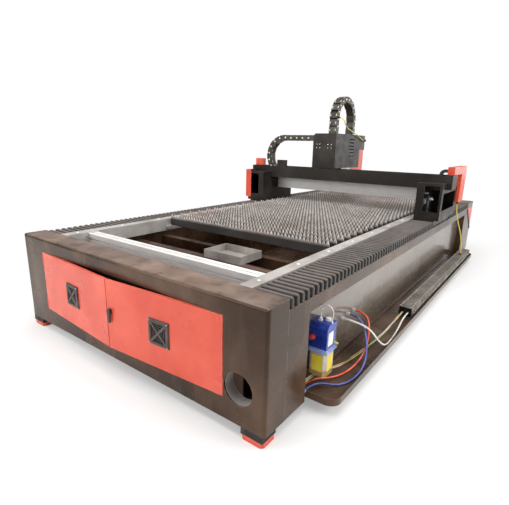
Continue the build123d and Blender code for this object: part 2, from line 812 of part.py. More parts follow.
def lubricator_tank():
    """The oil tank under the pump's flange."""
    top = BED_TOP - PUMP_DROP - PUMP_HEAD
    x = (PANEL_OUTER + PUMP_INSET, PANEL_OUTER + PUMP_REACH - PUMP_INSET)
    y = (PUMP_FRONT + PUMP_INSET, PUMP_FRONT + PUMP_WIDTH - PUMP_INSET)
    tank = block(x, y, (top - TANK_HEIGHT, top))
    return chamfer(tank.edges().filter_by(Axis.Z), TANK_ROUND)


def on_door(shape):
    """A right door's piece, drawn with the door shut, swung to where the door stands ajar."""
    return Pos(DOOR_EDGE, 0, 0) * Rot(0, 0, DOOR_AJAR) * Pos(-DOOR_EDGE, 0, 0) * shape


def vent_centre():
    """Middle of a door across the front."""
    return (DOOR_EDGE + DOOR_GAP / 2) / 2


def door(latched):
    """The right door: a folded pan with its hinge knuckles, a vent hole and a hole for the latch."""
    x = (DOOR_GAP / 2, DOOR_EDGE)
    leaf = shell(x, (0, DOOR_DEPTH), (DOOR_LOW, DOOR_HIGH), DOOR_SHEET, "+y")
    through = (-OVERRUN, DOOR_DEPTH + OVERRUN)
    sleeve = VENT_SLEEVE + SEAT
    leaf -= block(about(vent_centre(), sleeve), through, about(DOOR_MID, sleeve))
    if latched:
        leaf -= level_rod(latch_x(), latch_z(), through, LATCH_SHAFT_RADIUS + RUNNING)
    for side in (-HINGE_SHARE, HINGE_SHARE):
        middle = DOOR_MID + side * OPENING_HEIGHT
        leaf += upright_rod(DOOR_EDGE, 0, about(middle, HINGE_LENGTH), DOOR_GAP - SEAT)
    return on_door(leaf)


def right_door():
    """The door with the latch."""
    return door(True)


def left_door():
    """The plain door."""
    return other_side(door(False))


def vent_grille():
    """A bevelled square face with four three-sided windows, a sleeve through the door and a filter pad."""
    centre = Pos(vent_centre(), 0, DOOR_MID) * Rot(90, 0, 0)
    face = extrude(Rectangle(VENT_FACE, VENT_FACE), VENT_DEPTH)
    face = chamfer(face.faces().sort_by(Axis.Z)[-1].edges(), VENT_BEVEL)
    half = VENT_SLEEVE / 2 - VENT_SLEEVE_WALL - VENT_BAR
    window = Polygon((VENT_BAR, 0), (half + VENT_BAR, half), (half + VENT_BAR, -half), align=None)
    cutter = Pos(0, 0, -OVERRUN) * extrude(window, VENT_DEPTH + 2 * OVERRUN, dir=(0, 0, 1))
    for turn in range(4):
        face -= Rot(0, 0, 90 * turn) * cutter
    sleeve = Rectangle(VENT_SLEEVE, VENT_SLEEVE)
    mouth = VENT_SLEEVE - 2 * VENT_SLEEVE_WALL
    sleeve = extrude(sleeve - Rectangle(mouth, mouth), -VENT_SLEEVE_DEPTH)
    pad = Pos(0, 0, -VENT_SLEEVE_DEPTH) * extrude(Rectangle(mouth, mouth), VENT_PAD)
    return on_door(centre * (face + sleeve + pad))


def left_vent():
    """The vent of the left door."""
    return other_side(vent_grille())


def latch_x():
    """Turning axis of the latch across the front."""
    return DOOR_GAP / 2 + LATCH_FROM_SEAM + LATCH_WIDTH / 2


def latch_z():
    """Turning axis of the latch above the floor."""
    return DOOR_MID + LATCH_HEIGHT / 2 - LATCH_WIDTH / 2


def door_latch():
    """A hanging handle on a shaft through the right door."""
    z = (latch_z() + LATCH_WIDTH / 2 - LATCH_HEIGHT, latch_z() + LATCH_WIDTH / 2)
    handle = block(about(latch_x(), LATCH_WIDTH), (-LATCH_DEPTH, -SEAT), z)
    handle = chamfer(handle.edges().filter_by(Axis.Y), LATCH_ROUND)
    shaft = level_rod(latch_x(), latch_z(), (-LATCH_DEPTH / 2, DOOR_DEPTH), LATCH_SHAFT_RADIUS)
    return on_door(handle + shaft)


def carriage():
    """The right carriage: a box with a raised nose, open windows, a base and two runner blocks."""
    wall = CARRIAGE_WALL
    deck = BED_TOP + CARRIAGE_DECK_LIFT
    nose_top = BED_TOP + NOSE_LIFT
    nose_rear = CARRIAGE_FRONT + NOSE_LENGTH
    base_outer = CARRIAGE_INNER + CARRIAGE_BASE_WIDTH
    body = prism_x(
        [
            (CARRIAGE_FRONT, deck),
            (CARRIAGE_FRONT, nose_top),
            (nose_rear, nose_top),
            (nose_rear, CARRIAGE_TOP),
            (CARRIAGE_REAR, CARRIAGE_TOP),
            (CARRIAGE_REAR, deck),
        ],
        (CARRIAGE_INNER, CARRIAGE_OUTER),
    )
    body += block((CARRIAGE_INNER, base_outer), CARRIAGE_Y, (CARRIAGE_BASE, deck))
    body -= prism_x(
        [
            (CARRIAGE_FRONT + wall, deck + wall),
            (CARRIAGE_FRONT + wall, nose_top - wall),
            (nose_rear - wall, nose_top - wall),
            (nose_rear - wall, CARRIAGE_TOP - wall),
            (CARRIAGE_REAR - wall, CARRIAGE_TOP - wall),
            (CARRIAGE_REAR - wall, deck + wall),
        ],
        (CARRIAGE_INNER + wall, CARRIAGE_OUTER - wall),
    )
    well_y = (CARRIAGE_FRONT + wall, CARRIAGE_REAR - wall)
    well_z = (CARRIAGE_BASE + CARRIAGE_BASE_SHEET, deck + wall + SEAT)
    body -= block((CARRIAGE_INNER + wall, base_outer - wall), well_y, well_z)
    window_x = CARRIAGE_INNER + FRONT_WINDOW_INSET
    window_z = BED_TOP + FRONT_WINDOW_LIFT
    body -= block(
        (window_x, window_x + FRONT_WINDOW_WIDTH),
        (CARRIAGE_FRONT - OVERRUN, CARRIAGE_FRONT + wall + OVERRUN),
        (window_z, window_z + FRONT_WINDOW_HEIGHT),
    )
    window_z = BED_TOP + SIDE_WINDOW_LIFT
    body -= block(
        (CARRIAGE_OUTER - wall - OVERRUN, CARRIAGE_OUTER + OVERRUN),
        (CARRIAGE_FRONT + SIDE_WINDOW_INSET, CARRIAGE_REAR - SIDE_WINDOW_INSET),
        (window_z, window_z + SIDE_WINDOW_HEIGHT),
    )
    shaft_hole = (CARRIAGE_BASE - OVERRUN, CARRIAGE_BASE + CARRIAGE_BASE_SHEET + OVERRUN)
    body -= block(
        about(DRIVE_X, 2 * PINION_SHAFT_RADIUS + CARRIAGE_WALL),
        about(DRIVE_Y, 2 * PINION_SHAFT_RADIUS + CARRIAGE_WALL),
        shaft_hole,
    )
    fronts = (CARRIAGE_FRONT + RUNNER_INSET, CARRIAGE_REAR - RUNNER_INSET - RUNNER_LENGTH)
    for front in fronts:
        body += runner_block(front)
    return body


def runner_block(front):
    """A block that straddles the right lengthwise rail."""
    low = BEAM_TOP + RUNNER_CLEAR
    slot = RAIL_WIDTH / 2 + SEAT
    outer = RUNNER_WIDTH / 2
    slot_top = BEAM_TOP + RAIL_HEIGHT + SEAT
    outline = [
        (RAIL_X - outer, low),
        (RAIL_X - slot, low),
        (RAIL_X - slot, slot_top),
        (RAIL_X + slot, slot_top),
        (RAIL_X + slot, low),
        (RAIL_X + outer, low),
        (RAIL_X + outer, CARRIAGE_BASE),
        (RAIL_X - outer, CARRIAGE_BASE),
    ]
    return prism_y(outline, (front, front + RUNNER_LENGTH))


def square_motor(x, y, low, gearbox_size, gearbox_height, motor_size, motor_height):
    """A motor on a wider gearbox, with a round flange between them, standing on its output end."""
    gearbox_top = low + gearbox_height
    motor_low = gearbox_top + MOTOR_FLANGE
    body = block(about(x, gearbox_size), about(y, gearbox_size), (low, gearbox_top))
    neck = motor_size - MOTOR_FLANGE
    body += block(about(x, neck), about(y, neck), (gearbox_top, motor_low))
    return body + block(about(x, motor_size), about(y, motor_size), (motor_low, motor_low + motor_height))


def drive_motors():
    """Drive motors in both carriages, over the pinions."""
    low = CARRIAGE_BASE + CARRIAGE_BASE_SHEET
    motor = square_motor(DRIVE_X, DRIVE_Y, low, GEARBOX_SIZE, GEARBOX_HEIGHT, MOTOR_SIZE, MOTOR_HEIGHT)
    return [motor, other_side(motor)]


def pinion(x, y, low, radius, shaft_radius, shaft_top):
    """A toothed wheel within its pitch circle, on a shaft that ends at its gearbox."""
    outline = []
    for step in range(2 * PINION_TOOTH_COUNT):
        angle = pi * step / PINION_TOOTH_COUNT
        reach = radius if step % 2 == 0 else radius - PINION_TOOTH
        outline.append((x + reach * cos(angle), y + reach * sin(angle)))
    wheel = prism_z(outline, (low, low + PINION_HEIGHT))
    return wheel + upright_rod(x, y, (low, shaft_top), shaft_radius)


def drive_pinion():
    """The right carriage's pinion beside its rack."""
    shaft_top = CARRIAGE_BASE + CARRIAGE_BASE_SHEET - SEAT
    return pinion(DRIVE_X, DRIVE_Y, BEAM_TOP + PINION_CLEAR, PINION_RADIUS, PINION_SHAFT_RADIUS, shaft_top)


def bridge_beam():
    """The hollow aluminium beam between the carriages, with a middle web and two grooves in its face."""
    x = (-CARRIAGE_INNER, CARRIAGE_INNER)
    through = (-CARRIAGE_INNER - OVERRUN, CARRIAGE_INNER + OVERRUN)
    low = BED_TOP + BRIDGE_LIFT
    beam = block(x, (BRIDGE_FRONT, BRIDGE_REAR), (low, CARRIAGE_TOP))
    web = (BRIDGE_FRONT + BRIDGE_REAR) / 2
    cell_z = (low + BRIDGE_WALL, CARRIAGE_TOP - BRIDGE_WALL)
    beam -= block(through, (BRIDGE_FRONT + 2 * BRIDGE_WALL, web - BRIDGE_WALL / 2), cell_z)
    beam -= block(through, (web + BRIDGE_WALL / 2, BRIDGE_REAR - BRIDGE_WALL), cell_z)
    for share in (1 / 3, 2 / 3):
        groove_z = about(low + share * (CARRIAGE_TOP - low), BRIDGE_GROOVE)
        beam -= block(through, (BRIDGE_FRONT - OVERRUN, BRIDGE_FRONT + BRIDGE_WALL), groove_z)
    return beam


def chain_trough():
    """The open trough along the front of the bridge, with closed ends and a small upright tab."""
    rear = TROUGH_FRONT + TROUGH_DEPTH
    x = (-TROUGH_HALF, TROUGH_HALF)
    trough = shell(x, (TROUGH_FRONT, rear), (CARRIAGE_TOP, TROUGH_TOP), TROUGH_SHEET, "+z")
    tab_y = (TROUGH_FRONT, TROUGH_FRONT + TAB_DEPTH)
    tab_x = (TAB_LEFT, TAB_LEFT + TAB_WIDTH)
    tab_z = (TROUGH_TOP - TAB_DEPTH, TROUGH_TOP + TAB_HEIGHT)
    return trough + shell(tab_x, tab_y, tab_z, TROUGH_SHEET, "-z+y")


def step_cover(outer, x, open_face):
    """A sheet cover with an L-shaped side, from the outline of that side, open towards open_face."""
    body = prism_x(outer, x)
    inner = offset(Polygon(*outer, align=None), -COVER_SHEET, kind=Kind.INTERSECTION)
    low, high = x[0] + COVER_SHEET, x[1] - COVER_SHEET
    if open_face == "-x":
        low = x[0] - OVERRUN
    else:
        high = x[1] + OVERRUN
    return body - extrude(Plane.YZ.offset(low) * inner, high - low, dir=(1, 0, 0))


def end_cover():
    """The red cover over the right end of the bridge and down its rear."""
    front = CARRIAGE_FRONT + END_COVER_SETBACK
    rear = front + END_COVER_LENGTH
    top = TROUGH_TOP + END_COVER_TOP
    low = BED_TOP + END_COVER_LIFT
    outline = [
        (front, TROUGH_TOP),
        (front, top),
        (rear, top),
        (rear, low),
        (CARRIAGE_REAR, low),
        (CARRIAGE_REAR, TROUGH_TOP),
    ]
    return step_cover(outline, (END_COVER_INNER, END_COVER_INNER + END_COVER_WIDTH), "-x")


def end_cap():
    """The small red cap on the left end of the trough."""
    front = CARRIAGE_FRONT + END_CAP_SETBACK
    x = (-TROUGH_HALF, END_CAP_WIDTH - TROUGH_HALF)
    z = (TROUGH_TOP, TROUGH_TOP + END_CAP_HEIGHT)
    return shell(x, (front, front + END_CAP_DEPTH), z, COVER_SHEET, "-z")


def side_cover():
    """The red cover on the outer side of the left carriage, turned in over its front."""
    low = BED_TOP + SIDE_COVER_LIFT
    top = BED_TOP + SIDE_COVER_TOP
    front = CARRIAGE_FRONT - COVER_SHEET
    rear = CARRIAGE_FRONT + SIDE_COVER_LENGTH
    outline = [
        (front, low),
        (front, top),
        (TROUGH_FRONT, top),
        (TROUGH_FRONT, CARRIAGE_TOP),
        (rear, CARRIAGE_TOP),
        (rear, low),
    ]
    outer = -CARRIAGE_OUTER - SIDE_COVER_DEPTH
    cover = step_cover(outline, (outer, -CARRIAGE_OUTER), "+x")
    return cover + block((outer, outer + SIDE_COVER_RETURN), (front, CARRIAGE_FRONT), (low, top))


def conduit_bow():
    """A flat black conduit that leaves the right end cover and turns down into the trough."""
    middle = CARRIAGE_FRONT + BOW_SETBACK
    top = BED_TOP + BOW_LIFT + BOW_THICK / 2
    outer_x = END_COVER_INNER - BOW_REACH
    floor = CARRIAGE_TOP + TROUGH_SHEET
    elbow = Polyline(
        (END_COVER_INNER, top),
        (outer_x, top),
        (outer_x, floor),
        (outer_x + BOW_THICK, floor),
        (outer_x + BOW_THICK, top - BOW_THICK),
        (END_COVER_INNER, top - BOW_THICK),
        close=True,
    )
    face = make_face(elbow)
    corners = face.vertices().group_by(Axis.X)[0].group_by(Axis.Y)[-1]
    inner = [v for v in face.vertices() if abs(v.Y - top + BOW_THICK) < SEAT and v.X < END_COVER_INNER]
    face = fillet(corners, BOW_RADIUS + BOW_THICK)
    face = fillet(face.vertices().sort_by_distance(inner[0])[0], BOW_RADIUS)
    return extrude(Plane.XZ.offset(BOW_WIDTH / 2 - middle) * face, BOW_WIDTH, dir=(0, 1, 0))


def bridge_guides():
    """Two cross rails on top of the beam and the rack on its rear face."""
    x = (-CROSS_RAIL_HALF, CROSS_RAIL_HALF)
    guides = []
    for number in range(2):
        middle = BRIDGE_FRONT + CROSS_RAIL_SETBACK + number * CROSS_RAIL_PITCH
        rail_z = (CARRIAGE_TOP, CARRIAGE_TOP + CROSS_RAIL_HEIGHT)
        guides.append(block(x, about(middle, CROSS_RAIL_WIDTH), rail_z))
    rack_top = CARRIAGE_TOP - CROSS_RACK_BELOW
    rack_z = (rack_top - CROSS_RACK_HEIGHT, rack_top)
    return guides + [block(x, (BRIDGE_REAR, BRIDGE_REAR + CROSS_RACK_DEPTH), rack_z)]


def cross_slide():
    """The slide plate over the beam, with four runner blocks and two uprights for the housing."""
    x = (HEAD_LEFT + HOUSING_SHEET, HEAD_RIGHT - HOUSING_SHEET)
    slide = block(x, (SLIDE_FRONT, SLIDE_REAR), (SLIDE_LOW, SLIDE_TOP))
    hole = 2 * CROSS_PINION_SHAFT + CARRIAGE_WALL
    through = (SLIDE_LOW - OVERRUN, SLIDE_TOP + OVERRUN)
    slide -= block(about(HEAD_X, hole), about(CROSS_PINION_Y, hole), through)
    slot = CROSS_RAIL_WIDTH / 2 + SEAT
    outer = RUNNER_WIDTH / 2
    low = CARRIAGE_TOP + SLIDE_RUNNER_CLEAR
    slot_top = CARRIAGE_TOP + CROSS_RAIL_HEIGHT + SEAT
    for number in range(2):
        middle = BRIDGE_FRONT + CROSS_RAIL_SETBACK + number * CROSS_RAIL_PITCH
        outline = [
            (middle - outer, low),
            (middle - slot, low),
            (middle - slot, slot_top),
            (middle + slot, slot_top),
            (middle + slot, low),
            (middle + outer, low),
            (middle + outer, SLIDE_LOW),
            (middle - outer, SLIDE_LOW),
        ]
        for left in (x[0], x[1] - SLIDE_RUNNER_LENGTH):
            slide += prism_x(outline, (left, left + SLIDE_RUNNER_LENGTH))
    upright_y = (SLIDE_FRONT + UPRIGHT_INSET, SLIDE_REAR - UPRIGHT_INSET)
    for left in (x[0], x[1] - UPRIGHT_SHEET):
        slide += block((left, left + UPRIGHT_SHEET), upright_y, (SLIDE_TOP, SLIDE_TOP + UPRIGHT_HEIGHT))
    return slide


def cross_pinion():
    """The head drive's pinion beside the rack on the beam."""
    low = CARRIAGE_TOP - CROSS_RACK_BELOW - CROSS_RACK_HEIGHT
    shaft_top = SLIDE_TOP - SEAT
    return pinion(HEAD_X, CROSS_PINION_Y, low, CROSS_PINION_RADIUS, CROSS_PINION_SHAFT, shaft_top)


def head_motors():
    """The cross drive motor on the slide plate and the lift motor over the screw."""
    size = HEAD_MOTOR_SIZE
    cross = block(about(HEAD_X, size), about(CROSS_PINION_Y, size), (SLIDE_TOP, SLIDE_TOP + HEAD_MOTOR_HEIGHT))
    low = BED_TOP + BACK_TOP
    lift = block(about(HEAD_X, size), about(SCREW_Y, size), (low, low + HEAD_MOTOR_HEIGHT / 2))
    return [cross, lift]


def head_housing():
    """The black sheet housing over the cross slide, stepped at its lower rear and slotted on its right."""
    low = BED_TOP + HOUSING_LIFT
    top = BED_TOP + HOUSING_TOP
    step_y = HOUSING_REAR - NOTCH_LENGTH
    step_z = BED_TOP + NOTCH_LIFT
    sheet = HOUSING_SHEET
    x = (HEAD_LEFT, HEAD_RIGHT)
    body = prism_x(
        [
            (HOUSING_FRONT, low),
            (HOUSING_FRONT, top),
            (HOUSING_REAR, top),
            (HOUSING_REAR, step_z),
            (step_y, step_z),
            (step_y, low),
        ],
        x,
    )
    top_left = body.edges().filter_by(Axis.Y).group_by(Axis.Z)[-1].sort_by(Axis.X)[0]
    body = chamfer(top_left, HOUSING_CHAMFER)
    inside = prism_x(
        [
            (HOUSING_FRONT + sheet, low - OVERRUN),
            (HOUSING_FRONT + sheet, top - sheet),
            (HOUSING_REAR - sheet, top - sheet),
            (HOUSING_REAR - sheet, step_z + sheet),
            (step_y + OVERRUN, step_z + sheet),
            (step_y + OVERRUN, low - OVERRUN),
        ],
        (x[0] + sheet, x[1] - sheet),
    )
    top_left = inside.edges().filter_by(Axis.Y).group_by(Axis.Z)[-1].sort_by(Axis.X)[0]
    body -= chamfer(top_left, HOUSING_CHAMFER - sheet)
    slot_y = (HOUSING_FRONT + LOUVRE_SETBACK, HOUSING_FRONT + LOUVRE_SETBACK + LOUVRE_LENGTH)
    for row in range(LOUVRE_COUNT):
        slot_z = top - LOUVRE_DROP - row * LOUVRE_PITCH
        body -= block((x[1] - sheet - OVERRUN, x[1] + OVERRUN), slot_y, (slot_z - LOUVRE_HEIGHT, slot_z))
    return body


def lift_rail_x(side):
    """Middle of a vertical guide."""
    return HEAD_X + side * LIFT_RAIL_SPREAD / 2


def back_plate():
    """The upright plate behind the beam, with two vertical guides and the screw's two bearings."""
    x = (COVER_INNER_LEFT, COVER_INNER_RIGHT)
    plate = block(x, (SLIDE_REAR, BACK_REAR), (BED_TOP + BACK_LIFT, BED_TOP + BACK_TOP))
    rail_y = (BACK_REAR, BACK_REAR + LIFT_RAIL_DEPTH)
    rail_z = (BED_TOP + LIFT_RAIL_LIFT, BED_TOP + LIFT_RAIL_TOP)
    for side in (-1, 1):
        plate += block(about(lift_rail_x(side), LIFT_RAIL_WIDTH), rail_y, rail_z)
    bearing_y = (BACK_REAR, BACK_REAR + BEARING_DEPTH)
    for low in (BED_TOP + LOWER_BEARING_LIFT, BED_TOP + BACK_TOP - BEARING_HEIGHT):
        plate += block(about(HEAD_X, BEARING_SIZE), bearing_y, (low, low + BEARING_HEIGHT))
    bore_z = (BED_TOP + LOWER_BEARING_LIFT - OVERRUN, BED_TOP + BACK_TOP + OVERRUN)
    return plate - upright_rod(HEAD_X, SCREW_Y, bore_z, SCREW_RADIUS + RUNNING)


def lift_screw():
    """The screw between the two bearings, under its motor."""
    return upright_rod(HEAD_X, SCREW_Y, (BED_TOP + LOWER_BEARING_LIFT, BED_TOP + BACK_TOP - SEAT), SCREW_RADIUS)


def head_cover():
    """The red sheet cover behind the back plate, narrower where the housing stands in front of it."""
    low = BED_TOP + HEAD_COVER_LIFT
    top = BED_TOP + NOTCH_LIFT - SEAT
    step_y = HOUSING_REAR - NOTCH_LENGTH + SEAT
    step_z = BED_TOP + HOUSING_LIFT - SEAT
    sheet = COVER_SHEET
    x = (COVER_INNER_LEFT - sheet, COVER_INNER_RIGHT + sheet)
    body = prism_x(
        [
            (HEAD_COVER_FRONT, low),
            (HEAD_COVER_FRONT, step_z),
            (step_y, step_z),
            (step_y, top),
            (HOUSING_REAR, top),
            (HOUSING_REAR, low),
        ],
        x,
    )
    return body - prism_x(
        [
            (HEAD_COVER_FRONT - OVERRUN, low - OVERRUN),
            (HEAD_COVER_FRONT - OVERRUN, step_z + OVERRUN),
            (step_y + sheet, step_z + OVERRUN),
            (step_y + sheet, top - sheet),
            (HOUSING_REAR - sheet, top - sheet),
            (HOUSING_REAR - sheet, low - OVERRUN),
        ],
        (COVER_INNER_LEFT, COVER_INNER_RIGHT),
    )


def lift_slide():
    """The plate that carries the head, with four runners on the guides and the nut on the screw."""
    plate_y = (LIFT_PLATE_FRONT, LIFT_PLATE_FRONT + LIFT_PLATE_SHEET)
    low = BED_TOP + LIFT_PLATE_LIFT
    top = BED_TOP + LIFT_PLATE_TOP
    slide = block(about(HEAD_X, LIFT_PLATE_WIDTH), plate_y, (low, top))
    slot_rear = BACK_REAR + LIFT_RAIL_DEPTH + SEAT
    runner_front = BACK_REAR + SLIDE_RUNNER_CLEAR
    for side in (-1, 1):
        middle = lift_rail_x(side)
        outer = LIFT_RUNNER_WIDTH / 2
        slot = LIFT_RAIL_WIDTH / 2 + SEAT
        outline = [
            (middle - outer, runner_front),
            (middle - slot, runner_front),
            (middle - slot, slot_rear),
            (middle + slot, slot_rear),
            (middle + slot, runner_front),
            (middle + outer, runner_front),
            (middle + outer, LIFT_PLATE_FRONT),
            (middle - outer, LIFT_PLATE_FRONT),
        ]
        for runner_low in (low, top - LIFT_RUNNER_HEIGHT):
            slide += prism_z(outline, (runner_low, runner_low + LIFT_RUNNER_HEIGHT))
    nut_z = about((low + top) / 2, NUT_HEIGHT)
    slide += block(about(HEAD_X, BEARING_SIZE), (runner_front, LIFT_PLATE_FRONT), nut_z)
    return slide - upright_rod(HEAD_X, SCREW_Y, (low - OVERRUN, top + OVERRUN), SCREW_RADIUS + RUNNING)


def cutting_head():
    """The cutting head: square optics body and neck, round sensor body, cone and nozzle."""
    body_z = (BED_TOP + CUTTER_BODY_LIFT, BED_TOP + CUTTER_BODY_TOP)
    neck_z = (body_z[1], BED_TOP + CUTTER_NECK_TOP)
    body = block(about(HEAD_X, CUTTER_BODY), about(CUTTER_Y, CUTTER_BODY), body_z)
    neck = block(about(HEAD_X, CUTTER_NECK), about(CUTTER_Y, CUTTER_NECK), neck_z)
    body += chamfer(neck.edges().filter_by(Axis.Z), LATCH_ROUND)
    barrel = Polygon(
        (0, BED_TOP + NOZZLE_LIFT),
        (NOZZLE_TIP_RADIUS, BED_TOP + NOZZLE_LIFT),
        (NOZZLE_RADIUS, BED_TOP + CUTTER_CONE_LIFT),
        (CUTTER_SENSOR_RADIUS, BED_TOP + CUTTER_SENSOR_LIFT),
        (CUTTER_SENSOR_RADIUS, BED_TOP + CUTTER_BODY_LIFT),
        (0, BED_TOP + CUTTER_BODY_LIFT),
        align=None,
    )
    return body + Pos(HEAD_X, CUTTER_Y, 0) * revolve(Plane.XZ * barrel, Axis.Z)


def cross_chain():
    """The head's chain: along the trough, round a bend and back to the left of the housing."""
    lower = CHAIN_FIXED_X - CHAIN_BEND_X
    bend = pi * CHAIN_BEND_RADIUS
    length = lower + bend + HEAD_LEFT - CHAIN_BEND_X
    middle = CHAIN_LOW + CHAIN_BEND_RADIUS

    def frame_at(distance):
        turn = min(max(distance - lower, 0), bend) / CHAIN_BEND_RADIUS
        straight = lower - min(distance, lower) + max(distance - lower - bend, 0)
        x = CHAIN_BEND_X + straight - CHAIN_BEND_RADIUS * sin(turn)
        z = middle - CHAIN_BEND_RADIUS * cos(turn)
        return Plane((x, CHAIN_Y, z), x_dir=(-cos(turn), 0, sin(turn)), z_dir=(sin(turn), 0, cos(turn))).location

    return drag_chain(length, round(length / CHAIN_PITCH), CHAIN_WIDTH, CHAIN_HEIGHT, frame_at)


def loop_chain():
    """The chain that stands in a loop on the housing."""
    bend = pi * LOOP_RADIUS
    length = 2 * LOOP_LEG + bend
    base = BED_TOP + HOUSING_TOP
    middle = LOOP_FRONT + LOOP_RADIUS

    def frame_at(distance):
        turn = min(max(distance - LOOP_LEG, 0), bend) / LOOP_RADIUS
        z = base + min(distance, LOOP_LEG) - max(distance - LOOP_LEG - bend, 0) + LOOP_RADIUS * sin(turn)
        y = middle - LOOP_RADIUS * cos(turn)
        return Plane((LOOP_X, y, z), x_dir=(0, sin(turn), cos(turn)), z_dir=(0, -cos(turn), sin(turn))).location

    return drag_chain(length, round(length / CHAIN_PITCH), CHAIN_WIDTH, CHAIN_HEIGHT, frame_at)


def cord(name):
    """A six-sided rod along its route, in straight runs and arcs as large as the runs allow."""
    diameter, route = ROUTES[name]
    points = [Vector(*point) for point in route]
    radii = []
    for before, corner, after in zip(points, points[1:], points[2:]):
        shorter = min((corner - before).length, (after - corner).length)
        turn = radians((corner - before).get_angle(after - corner))
        radii.append(ARC_SHARE * shorter / tan(turn / 2))
    path = FilletPolyline(*points, radius=radii)
    section = RegularPolygon(diameter / 2, HOSE_SIDE_COUNT)
    bend_axis = (points[1] - points[0]).cross(points[2] - points[1])
    tube = sweep(Plane(path @ 0, x_dir=bend_axis, z_dir=path % 0) * section, path=path)
    share = tube.volume / (section.area * path.length)
    print(name, "length", round(path.length), "radii", [round(r) for r in radii], "volume share", round(share, 4))
    return tube


def hose_fittings():
    """Square fittings on the side panel and the corner post, where hoses and wires start or end."""
    fittings = []
    for name, (_, route) in ROUTES.items():
        for x, y, z in (route[0], route[-1]):
            high = about(z, FITTING_SIZE)
            if x == PANEL_FITTING:
                fittings.append(block((PANEL_OUTER, x), about(y, FITTING_SIZE), high))
            elif y == POST_FITTING:
                fittings.append(block(about(x, FITTING_SIZE), (y - FITTING_REACH, y), high))
    return fittings


def fiber_socket():
    """The socket on the head housing where the head's fiber ends."""
    x, y, z = ROUTES["head_fiber"][1][-1]
    return block((HEAD_RIGHT, x + FITTING_SIZE / 2), (y, y + FITTING_REACH), about(z, FITTING_SIZE))


def save(name, made):
    """Write one node, in the part's frame."""
    shape = Compound([piece.solid() for piece in made]) if isinstance(made, list) else made
    export_step(shape.moved(PART_FRAME), f"parts/{name}.step")


FRONT_BELLOWS = (FRONT_DEPTH, CARRIAGE_FRONT)
REAR_BELLOWS = (CARRIAGE_REAR, REAR_FRONT)
NODES = {
    "front_end_frame": front_end_frame(),
    "rear_end_frame": rear_end_frame(),
    "foot_plates": foot_plates(),
    "foot_blocks": foot_blocks(),
    "right_bed_side": bed_side(),
    "left_bed_side": other_side(bed_side()),
    "right_side_panel": side_panel(),
    "left_side_panel": other_side(side_panel()),
    "base_pan": base_pan(),
    "cross_members": cross_members(),
    "front_cross_bar": front_cross_bar(),
    "scrap_tray": scrap_tray(),
    "right_guard_strip": guard_strip(),
    "left_guard_strip": other_side(guard_strip()),
    "table_slats": table_slats(),
    "way_guides": way_guides(),
    "front_right_bellows": bellows(FRONT_BELLOWS, FRONT_FOLD_COUNT),
    "front_left_bellows": other_side(bellows(FRONT_BELLOWS, FRONT_FOLD_COUNT)),
    "rear_right_bellows": bellows(REAR_BELLOWS, REAR_FOLD_COUNT),
    "rear_left_bellows": other_side(bellows(REAR_BELLOWS, REAR_FOLD_COUNT)),
    "cable_tray": cable_tray(),
    "side_drag_chain": side_chain(),
    "lubricator_head": lubricator_head(),
    "lubricator_tank": lubricator_tank(),
    "right_door": right_door(),
    "left_door": left_door(),
    "right_vent": vent_grille(),
    "left_vent": left_vent(),
    "door_latch": door_latch(),
    "right_carriage": carriage(),
    "left_carriage": other_side(carriage()),
    "drive_motors": drive_motors(),
    "right_pinion": drive_pinion(),
    "left_pinion": other_side(drive_pinion()),
    "bridge_beam": bridge_beam(),
    "chain_trough": chain_trough(),
    "right_end_cover": end_cover(),
    "left_end_cover": end_cap(),
    "left_side_cover": side_cover(),
    "conduit_bow": conduit_bow(),
    "bridge_guides": bridge_guides(),
    "cross_slide": cross_slide(),
    "cross_pinion": cross_pinion(),
    "head_motors": head_motors(),
    "head_housing": head_housing() + fiber_socket(),
    "back_plate": back_plate(),
    "lift_screw": lift_screw(),
    "head_cover": head_cover(),
    "lift_slide": lift_slide(),
    "cutting_head": cutting_head(),
    "cross_drag_chain": cross_chain(),
    "loop_drag_chain": loop_chain(),
    "hose_fittings": hose_fittings(),
}
NODES.update({name: cord(name) for name in ROUTES})

os.makedirs("parts", exist_ok=True)
for node, made in NODES.items():
    save(node, made)
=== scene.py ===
import json
import math
import random
from collections import namedtuple

import bmesh
import bpy
from mathutils import Matrix, Vector


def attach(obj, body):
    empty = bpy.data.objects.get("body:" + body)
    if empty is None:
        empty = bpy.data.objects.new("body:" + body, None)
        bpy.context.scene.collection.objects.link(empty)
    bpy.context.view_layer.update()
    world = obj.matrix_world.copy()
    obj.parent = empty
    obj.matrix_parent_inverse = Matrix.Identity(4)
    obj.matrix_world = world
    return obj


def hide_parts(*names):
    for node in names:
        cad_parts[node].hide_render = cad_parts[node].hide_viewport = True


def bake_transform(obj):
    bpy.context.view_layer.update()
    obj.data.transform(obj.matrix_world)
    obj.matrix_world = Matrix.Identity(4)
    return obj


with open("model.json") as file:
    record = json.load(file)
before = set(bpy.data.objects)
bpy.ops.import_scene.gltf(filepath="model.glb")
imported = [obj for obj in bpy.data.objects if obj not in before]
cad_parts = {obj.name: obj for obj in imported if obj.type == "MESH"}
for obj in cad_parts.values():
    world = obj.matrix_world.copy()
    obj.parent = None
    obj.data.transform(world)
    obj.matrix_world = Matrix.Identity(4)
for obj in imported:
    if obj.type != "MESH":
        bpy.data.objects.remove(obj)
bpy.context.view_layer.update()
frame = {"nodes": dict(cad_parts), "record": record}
nodes = frame["nodes"]
scene = bpy.context.scene
scene.view_settings.view_transform = "Standard"

# Bed coordinates, in millimetres: X from the bed's middle, Y from its front face, Z from the floor.
CENTRE_X = 39.0
CENTRE_Y = 2387.0207
TOP = 704.0  # of the bed
CROWN = TOP + 811  # top of the head housing
PUMP_TOP = TOP - 240
BOTH_SIDES = ((1, "right"), (-1, "left"))


